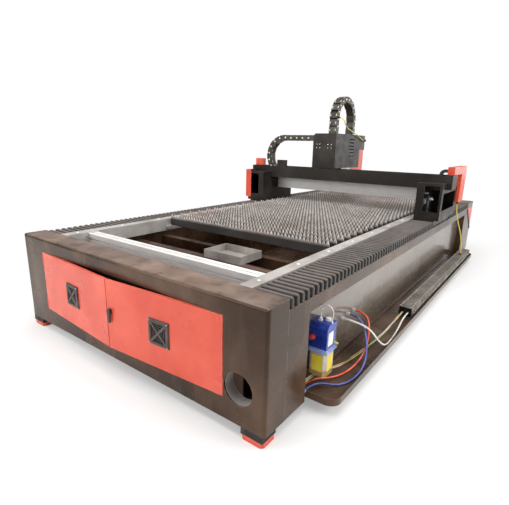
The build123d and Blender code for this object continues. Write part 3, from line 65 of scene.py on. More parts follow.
def at(x, y, z):
    """A point in bed coordinates, in the frame's metres."""
    return Vector(((x - CENTRE_X) / 1000, (y - CENTRE_Y) / 1000, z / 1000))


# Camera, light and floor

CAMERA_PLACE = (1964.7, -1274.9, TOP + 659.0)
CAMERA_TURN = (36.622, 15.007, 1.339)  # yaw, pitch and roll, in degrees
CAMERA_LENS = 28.17
# Lamps: place, aim and size in metres, and power
LAMPS = {
    "top_softbox": ((0.2, -1.8, 4.5), (0, -1.2, 0.7), (4.5, 4.5), 200),
    "right_softbox": ((5.4, 0.2, 3.4), (0.0, 0.6, 1.1), (3.5, 2.2), 175),
    "front_softbox": ((-2.8, -6.2, 2.4), (-0.1, 0.0, 0.9), (3.5, 2.2), 108),
    "rear_softbox": ((3.6, 8.2, 2.2), (0.0, 0.8, 0.9), (4.5, 3.0), 75),
}
SKY_COLOUR = (1.0, 0.975, 0.95, 1)
SKY_LOW, SKY_HIGH = 0.28, 0.68
WHITE = (1, 1, 1, 1)
FLOOR_HALF = 60
FLOOR_COLOUR = (0.93, 0.93, 0.925, 1)
FLOOR_CORE = (1.0, 2.2, 9)  # within this of the middle, the floor keeps its shadow
FLOOR_FADE = 1.7
FLOOR_LIFT = 0.3


def make_camera():
    yaw, pitch, roll = (math.radians(a) for a in CAMERA_TURN)
    flat = math.cos(pitch)
    look = Vector((-math.sin(yaw) * flat, math.cos(yaw) * flat, -math.sin(pitch)))
    right = Vector((math.cos(yaw), math.sin(yaw), 0))
    up = right.cross(look)
    right_r = right * math.cos(roll) + up * math.sin(roll)
    up_r = -right * math.sin(roll) + up * math.cos(roll)
    data = bpy.data.cameras.new("camera")
    data.sensor_width = 36.0
    data.sensor_fit = "HORIZONTAL"
    data.lens = CAMERA_LENS
    data.clip_end = 200
    camera = bpy.data.objects.new("camera", data)
    scene.collection.objects.link(camera)
    turn = Matrix((right_r, up_r, -look)).transposed()
    camera.matrix_world = Matrix.Translation(at(*CAMERA_PLACE)) @ turn.to_4x4()
    scene.camera = camera


def make_lamp(name, place, aim, size, power):
    data = bpy.data.lights.new(name, "AREA")
    data.shape = "RECTANGLE"
    data.size, data.size_y = size
    data.energy = power
    lamp = bpy.data.objects.new(name, data)
    scene.collection.objects.link(lamp)
    lamp.location = place
    lamp.visible_camera = False
    lamp.rotation_euler = (Vector(aim) - Vector(place)).to_track_quat("-Z", "Y").to_euler()


class Tree:
    """A node tree, with one short way to add nodes and join them."""

    def __init__(self, owner):
        owner.use_nodes = True
        self.tree = owner.node_tree

    def feed(self, node, values):
        """Set a node's inputs to plain values, or join them to other nodes' outputs."""
        for key, value in values.items():
            if isinstance(value, bpy.types.NodeSocket):
                self.tree.links.new(value, node.inputs[key])
            else:
                node.inputs[key].default_value = value

    def node(self, kind, values=None, **settings):
        """Add a node and return its outputs."""
        made = self.tree.nodes.new("ShaderNode" + kind)
        for key, value in settings.items():
            setattr(made, key, value)
        self.feed(made, values or {})
        return made.outputs

    def direct_view(self):
        """1 for what the camera sees, also through clear plastic, and 0 for light on things."""
        path = self.node("LightPath")
        rays = {0: path["Is Camera Ray"], 1: path["Is Transmission Ray"]}
        return self.node("Math", rays, operation="MAXIMUM")[0]


def make_world():
    """White where the camera looks past the object, and a soft sky that lights it."""
    scene.world = bpy.data.worlds.new("studio")
    tree = Tree(scene.world)
    tree.tree.nodes.clear()
    way = tree.node("TexCoord")["Generated"]
    height = tree.node("SeparateXYZ", {0: way})["Z"]
    rise = tree.node("MapRange", {"Value": height, "To Min": SKY_LOW, "To Max": SKY_HIGH})[0]
    lit = tree.node("Background", {"Color": SKY_COLOUR, "Strength": rise})[0]
    seen = tree.node("Background", {"Color": WHITE})[0]
    mix = tree.node("MixShader", {"Fac": tree.direct_view(), 1: lit, 2: seen})[0]
    tree.node("OutputWorld", {0: mix})


def make_floor():
    """A pale floor that turns white away from the object and keeps its shadow near it."""
    half = FLOOR_HALF
    mesh = bpy.data.meshes.new("floor")
    corners = [(-half, -half, 0), (half, -half, 0), (half, half, 0), (-half, half, 0)]
    mesh.from_pydata(corners, [], [(0, 1, 2, 3)])
    floor = bpy.data.objects.new("floor", mesh)
    scene.collection.objects.link(floor)
    mat = bpy.data.materials.new("floor")
    tree = Tree(mat)
    bsdf = tree.tree.nodes["Principled BSDF"]
    tree.feed(bsdf, {"Base Color": FLOOR_COLOUR, "Roughness": 0.9, "Specular IOR Level": 0.1})
    place = tree.node("TexCoord")["Object"]
    place = tree.node("VectorMath", {0: place}, operation="ABSOLUTE")["Vector"]
    place = tree.node("VectorMath", {0: place, 1: FLOOR_CORE}, operation="SUBTRACT")["Vector"]
    place = tree.node("VectorMath", {0: place, 1: (0, 0, 0)}, operation="MAXIMUM")["Vector"]
    past = tree.node("VectorMath", {0: place}, operation="LENGTH")["Value"]
    values = {"Value": past, "From Max": FLOOR_FADE, "To Min": FLOOR_LIFT}
    fade = tree.node("MapRange", values, interpolation_type="SMOOTHSTEP")[0]
    share = tree.node("Math", {0: fade, 1: tree.direct_view()}, operation="MULTIPLY")[0]
    white = tree.node("Emission")[0]
    mix = tree.node("MixShader", {"Fac": share, 1: bsdf.outputs[0], 2: white})[0]
    tree.feed(tree.tree.nodes["Material Output"], {"Surface": mix})
    mesh.materials.append(mat)


make_camera()
make_world()
make_floor()
for lamp_name, settings in LAMPS.items():
    make_lamp(lamp_name, *settings)


# Materials


class Shade(Tree):
    """A procedural material, built on object coordinates."""

    def __init__(self, name, colour, rough, metal=0.0, specular=0.5):
        self.mat = bpy.data.materials.new(name)
        super().__init__(self.mat)
        self.bsdf = self.tree.nodes["Principled BSDF"]
        self.feed(self.bsdf, {"Metallic": metal, "Specular IOR Level": specular})
        self.coord = self.node("TexCoord")["Object"]
        self.base_rough = rough
        # What the steps below have made so far: plain values, then outputs
        self.colour = (*colour, 1)
        self.rough = rough
        self.normal = None

    def noise(self, scale, detail=3.0, stretch=None, rough=0.55):
        place = self.coord
        if stretch:
            place = self.node("Mapping", {"Vector": place, "Scale": stretch})["Vector"]
        values = {"Vector": place, "Scale": scale, "Detail": detail, "Roughness": rough}
        return self.node("TexNoise", values)["Fac"]

    def span(self, value, low, high, new_low, new_high):
        values = {"Value": value, "From Min": low, "From Max": high}
        values |= {"To Min": new_low, "To Max": new_high}
        return self.node("MapRange", values)["Result"]

    def level(self, low, high, new_low, new_high):
        """A change over height, given in millimetres above the floor."""
        height = self.node("SeparateXYZ", {0: self.coord})["Z"]
        return self.span(height, low / 1000, high / 1000, new_low, new_high)

    def times(self, a, b):
        return self.node("Math", {0: a, 1: b}, operation="MULTIPLY")[0]

    def tint(self, factor, other, mode="MIX"):
        """Mix another colour over what there is so far."""
        values = {"Factor": factor, "A": self.colour, "B": (*other, 1)}
        self.colour = self.node("Mix", values, data_type="RGBA", blend_type=mode)["Result"]

    def rougher(self, factor, amount):
        """Raise or lower the roughness where factor is high."""
        values = {0: factor, 1: amount, 2: self.rough}
        self.rough = self.node("Math", values, operation="MULTIPLY_ADD")[0]

    def mottle(self, scale, darker, lighter):
        """Slow change of colour and gloss over the surface."""
        field = self.noise(scale, 5.0)
        self.tint(self.span(field, 0.5, 0.66, 0, 1), lighter)
        self.tint(self.span(field, 0.5, 0.34, 0, 1), darker)
        gloss = self.span(self.noise(scale * 2.7, 4.0), 0.3, 0.7, -1, 1)
        self.rougher(gloss, self.base_rough * 0.3)

    def dust(self, colour, amount):
        """Settled dust on faces that look up."""
        normal = self.node("NewGeometry")["Normal"]
        up = self.span(self.node("SeparateXYZ", {0: normal})["Z"], 0.55, 0.95, 0, amount)
        patch = self.times(up, self.span(self.noise(7.0, 6.0), 0.35, 0.7, 0.25, 1))
        self.tint(patch, colour)
        self.rougher(patch, 0.35)

    def scratches(self, colour, amount, stretch=(1.5, 1.5, 40)):
        """Fine rubbed lines."""
        lines = self.span(self.noise(9.0, 5.0, stretch, 0.7), 0.62, 0.72, 0, amount)
        self.tint(lines, colour)
        self.rougher(lines, 0.2)

    def edges(self, colour, radius, amount):
        """Paint rubbed thin along edges, and lighter there as a painted highlight of rounded edges.
        """
        bevel = self.node("Bevel", {"Radius": radius}, samples=4)[0]
        normals = {0: bevel, 1: self.node("NewGeometry")["Normal"]}
        dot = self.node("VectorMath", normals, operation="DOT_PRODUCT")["Value"]
        # Lighter along edges: rubbed paint, and a painted edge highlight.
        rim = self.span(dot, 0.995, 0.86, 0, amount)
        rub_and_highlight = self.times(rim, self.span(self.noise(30.0, 4.0), 0.42, 0.6, 0, 1))
        self.tint(rub_and_highlight, colour)

    def streaks(self, stretch, amount, rough_amount):
        """Brushed or drawn lines along one way."""
        lines = self.noise(14.0, 4.0, stretch, 0.65)
        self.tint(self.span(lines, 0.45, 0.7, 0, amount), (1, 1, 1), "OVERLAY")
        self.tint(self.span(lines, 0.5, 0.25, 0, amount), (0.3, 0.3, 0.3), "MULTIPLY")
        self.rougher(self.span(lines, 0.3, 0.7, -1, 1), rough_amount)

    def bump(self, scale, strength, distance=0.001, detail=3.0, stretch=None):
        values = {"Strength": strength, "Distance": distance}
        values["Height"] = self.noise(scale, detail, stretch)
        if self.normal is not None:
            values["Normal"] = self.normal
        self.normal = self.node("Bump", values)["Normal"]

    def coat(self, weight, rough):
        self.feed(self.bsdf, {"Coat Weight": weight, "Coat Roughness": rough})

    def done(self):
        rough = self.node("Clamp", {"Value": self.rough, "Min": 0.06})[0]
        values = {"Base Color": self.colour, "Roughness": rough, "Normal": self.normal}
        self.feed(self.bsdf, values)
        return self.mat


def tinted(colour, times, plus=0.0):
    """A lighter or darker form of a colour."""
    return tuple(min(1, times * c + plus) for c in colour)


def bed_paint(name, dust):
    """Glossy brown-black paint on the welded bed."""
    made = Shade(name, (0.036, 0.019, 0.010), 0.24, specular=0.33)
    made.mottle(1.3, (0.010, 0.005, 0.003), (0.098, 0.056, 0.034))
    stain = made.span(made.noise(3.5, 4.0, (1, 1, 0.25)), 0.52, 0.72, 0, 0.5)
    made.tint(stain, (0.150, 0.094, 0.060))
    made.scratches((0.26, 0.20, 0.165), 0.35)
    made.edges((0.24, 0.18, 0.145), 0.006, 0.75)
    made.dust((0.42, 0.31, 0.26), dust)
    made.bump(260, 0.12, 0.0006)
    made.bump(2.2, 0.25, 0.008, 2.0)
    made.feed(made.bsdf, {"Specular Tint": (1.0, 0.72, 0.56, 1)})
    made.coat(0.07, 0.1)
    return made.done()


def gantry_paint():
    """Satin black powder coat on the gantry and the head."""
    made = Shade("gantry_paint", (0.012, 0.0095, 0.008), 0.36, specular=0.30)
    made.mottle(3.2, (0.008, 0.0065, 0.0055), (0.025, 0.021, 0.018))
    made.scratches((0.10, 0.09, 0.08), 0.3)
    made.edges((0.16, 0.14, 0.125), 0.005, 0.7)
    made.dust((0.22, 0.19, 0.17), 0.12)
    made.bump(520, 0.3, 0.0005)
    made.feed(made.bsdf, {"Specular Tint": (1.0, 0.92, 0.85, 1)})
    return made.done()


def side_sheet():
    """Smooth taupe sheet of the side panels."""
    made = Shade("side_sheet", (0.148, 0.118, 0.095), 0.24)
    made.mottle(0.9, (0.096, 0.074, 0.058), (0.205, 0.172, 0.144))
    # Painted shade, with a painted reflection of the dark tray: darker towards the bottom.
    made.tint(made.level(110, 330, 0.75, 0), (0.055, 0.036, 0.022))
    made.scratches((0.30, 0.27, 0.24), 0.2, (1.5, 30, 2))
    made.bump(240, 0.08, 0.0006)
    made.bump(1.6, 0.2, 0.008, 2.0)
    made.coat(0.45, 0.1)
    return made.done()


def red_paint():
    made = Shade("red_paint", (0.72, 0.084, 0.041), 0.34, specular=0.4)
    made.mottle(2.6, (0.63, 0.061, 0.030), (0.80, 0.122, 0.068))
    made.scratches((0.95, 0.32, 0.22), 0.22)
    made.edges((0.96, 0.42, 0.30), 0.004, 0.6)
    made.dust((0.62, 0.38, 0.30), 0.12)
    made.bump(280, 0.12, 0.0006)
    made.coat(0.15, 0.2)
    return made.done()


def grey_sheet():
    made = Shade("grey_sheet", (0.31, 0.285, 0.265), 0.48)
    made.mottle(5.0, (0.23, 0.205, 0.187), (0.40, 0.375, 0.352))
    made.scratches((0.52, 0.49, 0.46), 0.35, (20, 2, 2))
    made.edges((0.56, 0.53, 0.50), 0.004, 0.8)
    made.dust((0.24, 0.20, 0.17), 0.3)
    made.bump(200, 0.12, 0.0008)
    return made.done()


def slat_steel():
    """Cut sheet, rusty low down and darkened there as painted shade between the blades, with pale
    tips that are burned and carry a painted highlight.
    """
    made = Shade("slat_steel", (0.27, 0.25, 0.24), 0.46, 0.4)
    made.mottle(3.2, (0.20, 0.175, 0.16), (0.46, 0.44, 0.43))
    made.tint(made.span(made.noise(6.0, 6.0), 0.53, 0.68, 0, 0.6), (0.25, 0.135, 0.080))
    # Painted shade: dark low down, between the blades.
    made.tint(made.level(TOP - 4, TOP + 10, 0.9, 0), (0.022, 0.018, 0.016))
    # Pale burned tips, lighter also as a painted highlight.
    tip = made.level(TOP + 10, TOP + 26, 0, 0.92)
    tip_burn_and_highlight = made.times(tip, made.span(made.noise(45.0, 4.0), 0.3, 0.55, 0.35, 1))
    made.tint(tip_burn_and_highlight, (0.82, 0.76, 0.72))
    patch = made.span(made.noise(1.7, 5.0), 0.5, 0.66, 0, 0.55)
    rust = made.times(made.level(TOP + 8, TOP + 16, 0, 1), patch)
    made.tint(rust, (0.42, 0.29, 0.22))
    made.rougher(tip_burn_and_highlight, 0.15)
    made.bump(120, 0.4, 0.0012, 5.0)
    return made.done()


def strip_steel():
    made = Shade("strip_steel", (0.46, 0.435, 0.41), 0.4, 0.25)
    made.mottle(3.0, (0.30, 0.278, 0.26), (0.56, 0.54, 0.52))
    made.streaks((26, 0.8, 26), 0.2, 0.06)
    made.edges((0.72, 0.70, 0.68), 0.004, 0.7)
    made.dust((0.42, 0.37, 0.33), 0.25)
    made.bump(30, 0.06, 0.0006, 3.0, (8, 0.5, 8))
    return made.done()


def guide_steel():
    made = Shade("guide_steel", (0.56, 0.57, 0.59), 0.24, 1.0)
    made.mottle(8.0, (0.42, 0.42, 0.43), (0.66, 0.67, 0.69))
    made.streaks((20, 1.0, 20), 0.2, 0.06)
    made.bump(180, 0.08, 0.0004)
    return made.done()


def bar_aluminium(name, colour):
    """Mill-finished aluminium profile."""
    made = Shade(name, colour, 0.4, 0.1)
    made.mottle(3.0, tinted(colour, 0.88), tinted(colour, 1.06))
    made.streaks((0.8, 26, 26), 0.22, 0.07)
    made.scratches((0.42, 0.40, 0.38), 0.3, (3, 3, 24))
    made.edges((0.9, 0.88, 0.86), 0.004, 0.6)
    made.bump(40, 0.06, 0.0005, 3.0, (0.5, 9, 9))
    return made.done()


def bellows_cloth():
    """Coated cloth over stiff lamellae."""
    made = Shade("bellows_cloth", (0.078, 0.061, 0.053), 0.5)
    made.mottle(5.0, (0.055, 0.043, 0.037), (0.112, 0.091, 0.080))
    made.dust((0.24, 0.20, 0.175), 0.22)
    # Painted shade: darker low down, in the grooves between the folds and on the sides.
    made.tint(made.level(TOP - 13, TOP - 5, 0.9, 0), (0.010, 0.008, 0.007))
    made.edges((0.22, 0.185, 0.165), 0.003, 0.5)
    made.bump(900, 0.3, 0.0005, 1.0)
    made.bump(60, 0.12, 0.0015)
    made.feed(made.bsdf, {"Sheen Weight": 0.12, "Sheen Roughness": 0.5})
    return made.done()


def moulded(name, colour, rough, dust=0.12):
    """Moulded plastic with a fine grain."""
    made = Shade(name, colour, rough)
    made.mottle(9.0, tinted(colour, 0.62), tinted(colour, 1.7, 0.006))
    made.edges(tinted(colour, 3.2, 0.05), 0.002, 0.5)
    made.dust((0.30, 0.26, 0.23), dust)
    made.bump(420, 0.25, 0.0005)
    return made.done()


def tube_plastic(name, colour, rough=0.24):
    made = Shade(name, colour, rough)
    made.mottle(12.0, tinted(colour, 0.78), tinted(colour, 1.12, 0.02))
    made.scratches(tinted(colour, 1.25, 0.06), 0.3, (4, 4, 4))
    made.bump(150, 0.08, 0.0004)
    made.coat(0.3, 0.12)
    return made.done()


def motor_casing():
    made = Shade("motor_casing", (0.022, 0.022, 0.024), 0.42)
    made.mottle(12.0, (0.014, 0.014, 0.015), (0.04, 0.04, 0.042))
    made.edges((0.3, 0.3, 0.31), 0.003, 0.7)
    made.bump(500, 0.3, 0.0005)
    return made.done()


def head_metal():
    made = Shade("head_metal", (0.36, 0.37, 0.385), 0.36, 0.8)
    made.mottle(10.0, (0.26, 0.265, 0.275), (0.46, 0.47, 0.485))
    made.streaks((3, 3, 30), 0.2, 0.08)
    made.edges((0.7, 0.7, 0.72), 0.003, 0.8)
    made.bump(300, 0.1, 0.0004)
    return made.done()


def pump_blue():
    made = Shade("pump_blue", (0.010, 0.030, 0.28), 0.3)
    made.mottle(14.0, (0.007, 0.022, 0.20), (0.016, 0.050, 0.38))
    made.edges((0.15, 0.25, 0.62), 0.003, 0.7)
    made.dust((0.14, 0.18, 0.40), 0.3)
    made.bump(420, 0.2, 0.0005)
    made.coat(0.2, 0.15)
    return made.done()


def pump_ledge():
    made = Shade("pump_ledge", (0.24, 0.34, 0.64), 0.34)
    made.mottle(14.0, (0.16, 0.25, 0.54), (0.42, 0.52, 0.78))
    made.edges((0.62, 0.70, 0.88), 0.003, 0.8)
    made.bump(420, 0.2, 0.0005)
    return made.done()


def tank_plastic():
    """Clear tank with amber oil in its lower part."""
    made = Shade("tank_plastic", (0.66, 0.62, 0.53), 0.2)
    made.mottle(10.0, (0.55, 0.50, 0.40), (0.78, 0.75, 0.68))
    made.tint(made.level(206, 198, 0, 0.9), (0.50, 0.30, 0.06))
    made.edges((0.9, 0.88, 0.84), 0.004, 0.6)
    made.bump(90, 0.08, 0.0006)
    made.feed(made.bsdf, {"Transmission Weight": 0.2, "IOR": 1.48})
    made.coat(0.3, 0.08)
    return made.done()


def field_yellow():
    made = Shade("field_yellow", (0.85, 0.66, 0.04), 0.4)
    made.mottle(18.0, (0.78, 0.58, 0.03), (0.90, 0.74, 0.10))
    made.edges((0.95, 0.86, 0.45), 0.002, 0.7)
    made.bump(350, 0.1, 0.0003)
    return made.done()


def foot_rubber():
    made = Shade("foot_rubber", (0.02, 0.019, 0.018), 0.7)
    made.mottle(10.0, (0.012, 0.011, 0.011), (0.05, 0.046, 0.043))
    made.bump(220, 0.35, 0.001)
    return made.done()


MATS = {
    "black_paint": bed_paint("bed_paint", 0.5),
    "low_paint": bed_paint("low_paint", 0.14),
    "gantry_paint": gantry_paint(),
    "side_sheet": side_sheet(),
    "red_paint": red_paint(),
    "grey_sheet": grey_sheet(),
    "slat_steel": slat_steel(),
    "strip_steel": strip_steel(),
    "guide_steel": guide_steel(),
    "bar_aluminium": bar_aluminium("bar_aluminium", (0.74, 0.715, 0.69)),
    # A lighter copy of the bar aluminium, as painted light on the beam, which the trough above
    # shades.
    "lit_beam_aluminium": bar_aluminium("lit_beam_aluminium", (0.92, 0.90, 0.88)),
    "bellows_cloth": bellows_cloth(),
    "chain_plastic": moulded("chain_plastic", (0.030, 0.026, 0.018), 0.4),
    "side_chain": moulded("side_chain", (0.13, 0.118, 0.108), 0.45, 0.5),
    "cable_black": moulded("cable_black", (0.012, 0.011, 0.010), 0.5),
    "vent_plastic": moulded("vent_plastic", (0.060, 0.047, 0.041), 0.48),
    "latch_metal": moulded("latch_metal", (0.018, 0.016, 0.015), 0.35),
    "motor_casing": motor_casing(),
    "pump_blue": pump_blue(),
    "pump_ledge": pump_ledge(),
    "tank_plastic": tank_plastic(),
    "field_yellow": field_yellow(),
    "foot_rubber": foot_rubber(),
    "head_metal": head_metal(),
    "red_tube": tube_plastic("red_tube", (0.80, 0.115, 0.045)),
    "blue_tube": tube_plastic("blue_tube", (0.085, 0.115, 0.42)),
    "white_tube": tube_plastic("white_tube", (0.82, 0.80, 0.76), 0.3),
    "wire_sheath": tube_plastic("wire_sheath", (0.42, 0.46, 0.10), 0.4),
    "wire_grey": tube_plastic("wire_grey", (0.30, 0.29, 0.28), 0.4),
    "wire_orange": tube_plastic("wire_orange", (0.70, 0.24, 0.07), 0.4),
    "wire_dark": tube_plastic("wire_dark", (0.05, 0.055, 0.05), 0.4),
    "fiber_sheath": tube_plastic("fiber_sheath", (0.80, 0.62, 0.10)),
    "fitting_plastic": tube_plastic("fitting_plastic", (0.66, 0.66, 0.65), 0.3),
    "pale_plastic": tube_plastic("pale_plastic", (0.80, 0.79, 0.76), 0.35),
    "cap_red": tube_plastic("cap_red", (0.62, 0.045, 0.03), 0.3),
    "outlet_green": tube_plastic("outlet_green", (0.66, 0.66, 0.16), 0.32),
    "pin_pale": tube_plastic("pin_pale", (0.84, 0.75, 0.52), 0.35),
}
GANTRY_BODIES = ("gantry", "head", "cutter")
SLOTS = {s["node"]: s["material_slot"] for s in frame["record"]["subparts"]}
BODY_NODES = frame["record"]["behaviour"]["bodies"]
UPPER_NODES = [node for body in GANTRY_BODIES for node in BODY_NODES[body]]
# Nodes that look different from their slot
LOOKS = {
    # The beam gets the lighter aluminium copy as painted light.
    "bridge_beam": "lit_beam_aluminium",
    "cable_tray": "low_paint",
    "base_pan": "low_paint",
    "cross_members": "low_paint",
}
for name, piece in nodes.items():
    slot = SLOTS[name]
    if slot == "black_paint" and name in UPPER_NODES:
        slot = "gantry_paint"
    piece.data.materials.clear()
    piece.data.materials.append(MATS[LOOKS.get(name, slot)])

# The left side cover's inner face, which the carriage's window shows, is black as painted shade
# inside the carriage.
inner_side = nodes["left_side_cover"].data
inner_side.materials.append(MATS["cable_black"])
for face in inner_side.polygons:
    if face.normal.x > 0.5:
        face.material_index = 1


# Shapes


class Maker:
    """Collects shapes, in bed coordinates and millimetres, into one piece."""

    def __init__(self):
        self.bm = bmesh.new()

    def block(self, x, y, z, bevel):
        """A block with small rounded edges."""
        middle = Vector(((x[0] + x[1]) / 2, (y[0] + y[1]) / 2, (z[0] + z[1]) / 2))
        size = Matrix.Diagonal((x[1] - x[0], y[1] - y[0], z[1] - z[0], 1))
        place = Matrix.Translation(middle) @ size
        made = bmesh.ops.create_cube(self.bm, size=1.0, matrix=place)
        edges = list(dict.fromkeys(e for v in made["verts"] for e in v.link_edges))
        bmesh.ops.bevel(
            self.bm, geom=edges, offset=bevel, segments=2, profile=0.6, affect="EDGES"
        )

    def lathe(self, place, axis, profile, sides=20):
        """A turned shape: profile is (radius, distance along axis), from one end to the other."""
        axis = Vector(axis).normalized()
        across = axis.orthogonal().normalized()
        other = axis.cross(across)
        rings = []
        for radius, along in profile:
            ring = []
            for a in full_turn(sides):
                out = (across * math.cos(a) + other * math.sin(a)) * radius
                ring.append(Vector(place) + axis * along + out)
            rings.append(ring)
        self.loft(rings)

    def loft(self, rings, closed_ring=True, capped=True, material=0):
        """Skin between rings of points."""
        made = [[self.bm.verts.new(p) for p in ring] for ring in rings]
        count = len(made[0])
        faces = []
        for low, high in zip(made, made[1:]):
            for k in range(count if closed_ring else count - 1):
                n = (k + 1) % count
                faces.append(self.bm.faces.new((low[k], low[n], high[n], high[k])))
        if capped:
            faces.append(self.bm.faces.new(list(reversed(made[0]))))
            faces.append(self.bm.faces.new(made[-1]))
        for face in faces:
            face.material_index = material

    def screw(self, place, axis, radius):
        """A domed screw head with a round recess."""
        shares = ((0.98, 0), (1, 0.25), (0.8, 0.6), (0.52, 0.72), (0.5, 0.3))
        profile = [(radius * wide, radius * along) for wide, along in shares]
        self.lathe(place, axis, [*profile, (0.02, radius * 0.28)], 14)

    def turned(self, matrix):
        """Move everything made so far."""
        bmesh.ops.transform(self.bm, matrix=matrix, verts=self.bm.verts)

    def done(self, name, looks, body, slot=None, angle=None):
        """One object of it all. looks is a material's name in MATS or a list of them."""
        bmesh.ops.recalc_face_normals(self.bm, faces=self.bm.faces)
        mesh = bpy.data.meshes.new(name)
        self.bm.to_mesh(mesh)
        self.bm.free()
        metres = Matrix.Diagonal((0.001, 0.001, 0.001, 1))
        mesh.transform(Matrix.Translation(at(0, 0, 0)) @ metres)
        piece = bpy.data.objects.new(name, mesh)
        scene.collection.objects.link(piece)
        for look in [looks] if isinstance(looks, str) else looks:
            mesh.materials.append(MATS[look])
        if angle is not None:
            mesh.shade_smooth()
            mesh.set_sharp_from_angle(angle=math.radians(angle))
        if body:
            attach(piece, body)
        return piece


def full_turn(count):
    """Angles round a full turn."""
    return [2 * math.pi * k / count for k in range(count)]


# Cords: diameter in millimetres, length in metres, route from the exit to the far end

Cord = namedtuple("Cord", "body slot diameter length route")
RED_ROUTE = (
    (1054, 1070, 339), (1135, 1070, 339), (1185, 1010, 260), (1188, 950, 130),
    (1172, 820, 76), (1135, 650, 78), (1050, 500, 114), (1050, 380, 114),
)
BLUE_ROUTE = (
    (1054, 985, 339), (1130, 985, 339), (1190, 940, 250), (1226, 885, 120),
    (1232, 740, 76), (1190, 590, 76), (1084, 490, 114), (1084, 380, 114),
)
WHITE_ROUTE = (
    (1054, 900, 339), (1130, 900, 339), (1205, 960, 290), (1236, 1050, 180), (1238, 1190, 90),
    (1228, 1360, 76), (1214, 1530, 80), (1200, 1690, 113), (1200, 1800, 113),
)
WIRE_ROUTE = (
    (1160, 1800, 113), (1160, 1690, 113), (1158, 1470, 84), (1150, 1240, 78), (1132, 1010, 80),
    (1110, 800, 88), (1085, 640, 118), (1068, 500, 148), (1068, 380, 148),
)
GANTRY_ROUTE = (
    (1132.5, 3520, 834), (1132.5, 3520, 740), (1160, 3580, 600), (1182, 3690, 470),
    (1182, 3804, 360), (1190, 3880, 262), (1190, 3880, 161),
)
PUMP_ROUTE = (
    (1075, 535, PUMP_TOP), (1075, 535, 509), (1082, 533, 540), (1106, 531, 562),
    (1134, 531, 556), (1150, 533, 526), (1142, 536, 498), (1142, 536, PUMP_TOP),
)
HEAD_ROUTE = (
    (-100.5, 3010, 1687), (-36.5, 3010, 1687), (-42, 3090, 1597), (-44, 3220, 1559),
    (-46, 3400, 1527), (-50, 3540, 1489), (-57, 3640, 1456), (-57, 3705, 1456),
)
CORDS = {
    "red_hose": Cord("bed", "red_tube", 12, 0.925, RED_ROUTE),
    "blue_hose": Cord("bed", "blue_tube", 12, 0.878, BLUE_ROUTE),
    "white_hose": Cord("bed", "white_tube", 12, 1.099, WHITE_ROUTE),
    "wire_bundle": Cord("bed", "wire_sheath", 16, 1.432, WIRE_ROUTE),
    "gantry_fiber": Cord("gantry", "fiber_sheath", 12, 0.798, GANTRY_ROUTE),
    "pump_lead": Cord("bed", "white_tube", 6, 0.229, PUMP_ROUTE),
    "head_fiber": Cord("head", "fiber_sheath", 10, 0.802, HEAD_ROUTE),
}
STRAND_LOOKS = (
    "wire_sheath", "wire_grey", "white_tube", "wire_orange", "wire_sheath", "wire_dark"
)
STRAND_RADIUS = 2.7
STRAND_SIDES = 7
STRAND_OFFSET = 5.2
STRAND_TURNS = 1.4


def new_line(name, route):
    """A smooth open line through a cord's route."""
    curve = bpy.data.curves.new(name, "CURVE")
    curve.dimensions = "3D"
    spline = curve.splines.new("NURBS")
    spline.points.add(len(route) - 1)
    for point, place in zip(spline.points, route):
        point.co = (*at(*place), 1)
    spline.order_u = 3
    spline.use_endpoint_u = True
    spline.resolution_u = 14
    piece = bpy.data.objects.new(name, curve)
    scene.collection.objects.link(piece)
    return piece


def line_points(name, route):
    """Points along a cord's smooth line, in the frame's metres."""
    line = new_line(name, route)
    mesh = bpy.data.meshes.new_from_object(line)
    points = [v.co.copy() for v in mesh.vertices]
    curve = line.data
    bpy.data.meshes.remove(mesh)
    bpy.data.objects.remove(line)
    bpy.data.curves.remove(curve)
    return points


def declare_cord(piece, name):
    cord = CORDS[name]
    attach(piece, cord.body)
    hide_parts(name)


def make_hose(name):
    cord = CORDS[name]
    piece = new_line(name + "_line", cord.route)
    piece.data.bevel_depth = cord.diameter / 2000
    piece.data.bevel_resolution = 4
    piece.data.use_fill_caps = True
    piece.data.materials.append(MATS[cord.slot])
    declare_cord(piece, name)


def make_strands(name):
    """Thin wires that wind about one line."""
    points = line_points(name + "_guide", CORDS[name].route)
    middle = [Vector((p.x * 1000 + CENTRE_X, p.y * 1000 + CENTRE_Y, p.z * 1000)) for p in points]
    ways = [(b - a).normalized() for a, b in zip(middle, middle[1:])]
    ways.append(ways[-1])
    across = ways[0].orthogonal().normalized()
    frames = []
    for way in ways:
        across = (across - way * across.dot(way)).normalized()
        frames.append((across.copy(), way.cross(across)))
    made = Maker()
    for strand in range(len(STRAND_LOOKS)):
        rings = []
        for k, (place, (u, v)) in enumerate(zip(middle, frames)):
            wander = 0.05 * math.sin(0.3 * k + strand)
            share = strand / len(STRAND_LOOKS) + STRAND_TURNS * k / len(middle) + wander
            turn = 2 * math.pi * share
            centre = place + (u * math.cos(turn) + v * math.sin(turn)) * STRAND_OFFSET
            round_it = full_turn(STRAND_SIDES)
            rings.append(
                [centre + (u * math.cos(a) + v * math.sin(a)) * STRAND_RADIUS for a in round_it]
            )
        made.loft(rings, material=strand)
    piece = made.done(name + "_strands", STRAND_LOOKS, None, None, 50)
    declare_cord(piece, name)


for cord_name in CORDS:
    if cord_name == "wire_bundle":
        make_strands(cord_name)
    else:
        make_hose(cord_name)


# Slat table

SLAT_ROWS = 28
SLAT_STEP = 115
SLAT_FRONT = 1150
SLAT_HALF = 798
SLAT_SHEET = 6
SLAT_TEETH = 51
SLAT_LOW = TOP - 60
SLAT_GAP = TOP + 12.5
SLAT_TIP = TOP + 42
SLAT_BURN = 7
SLAT_LEAN = 0.3


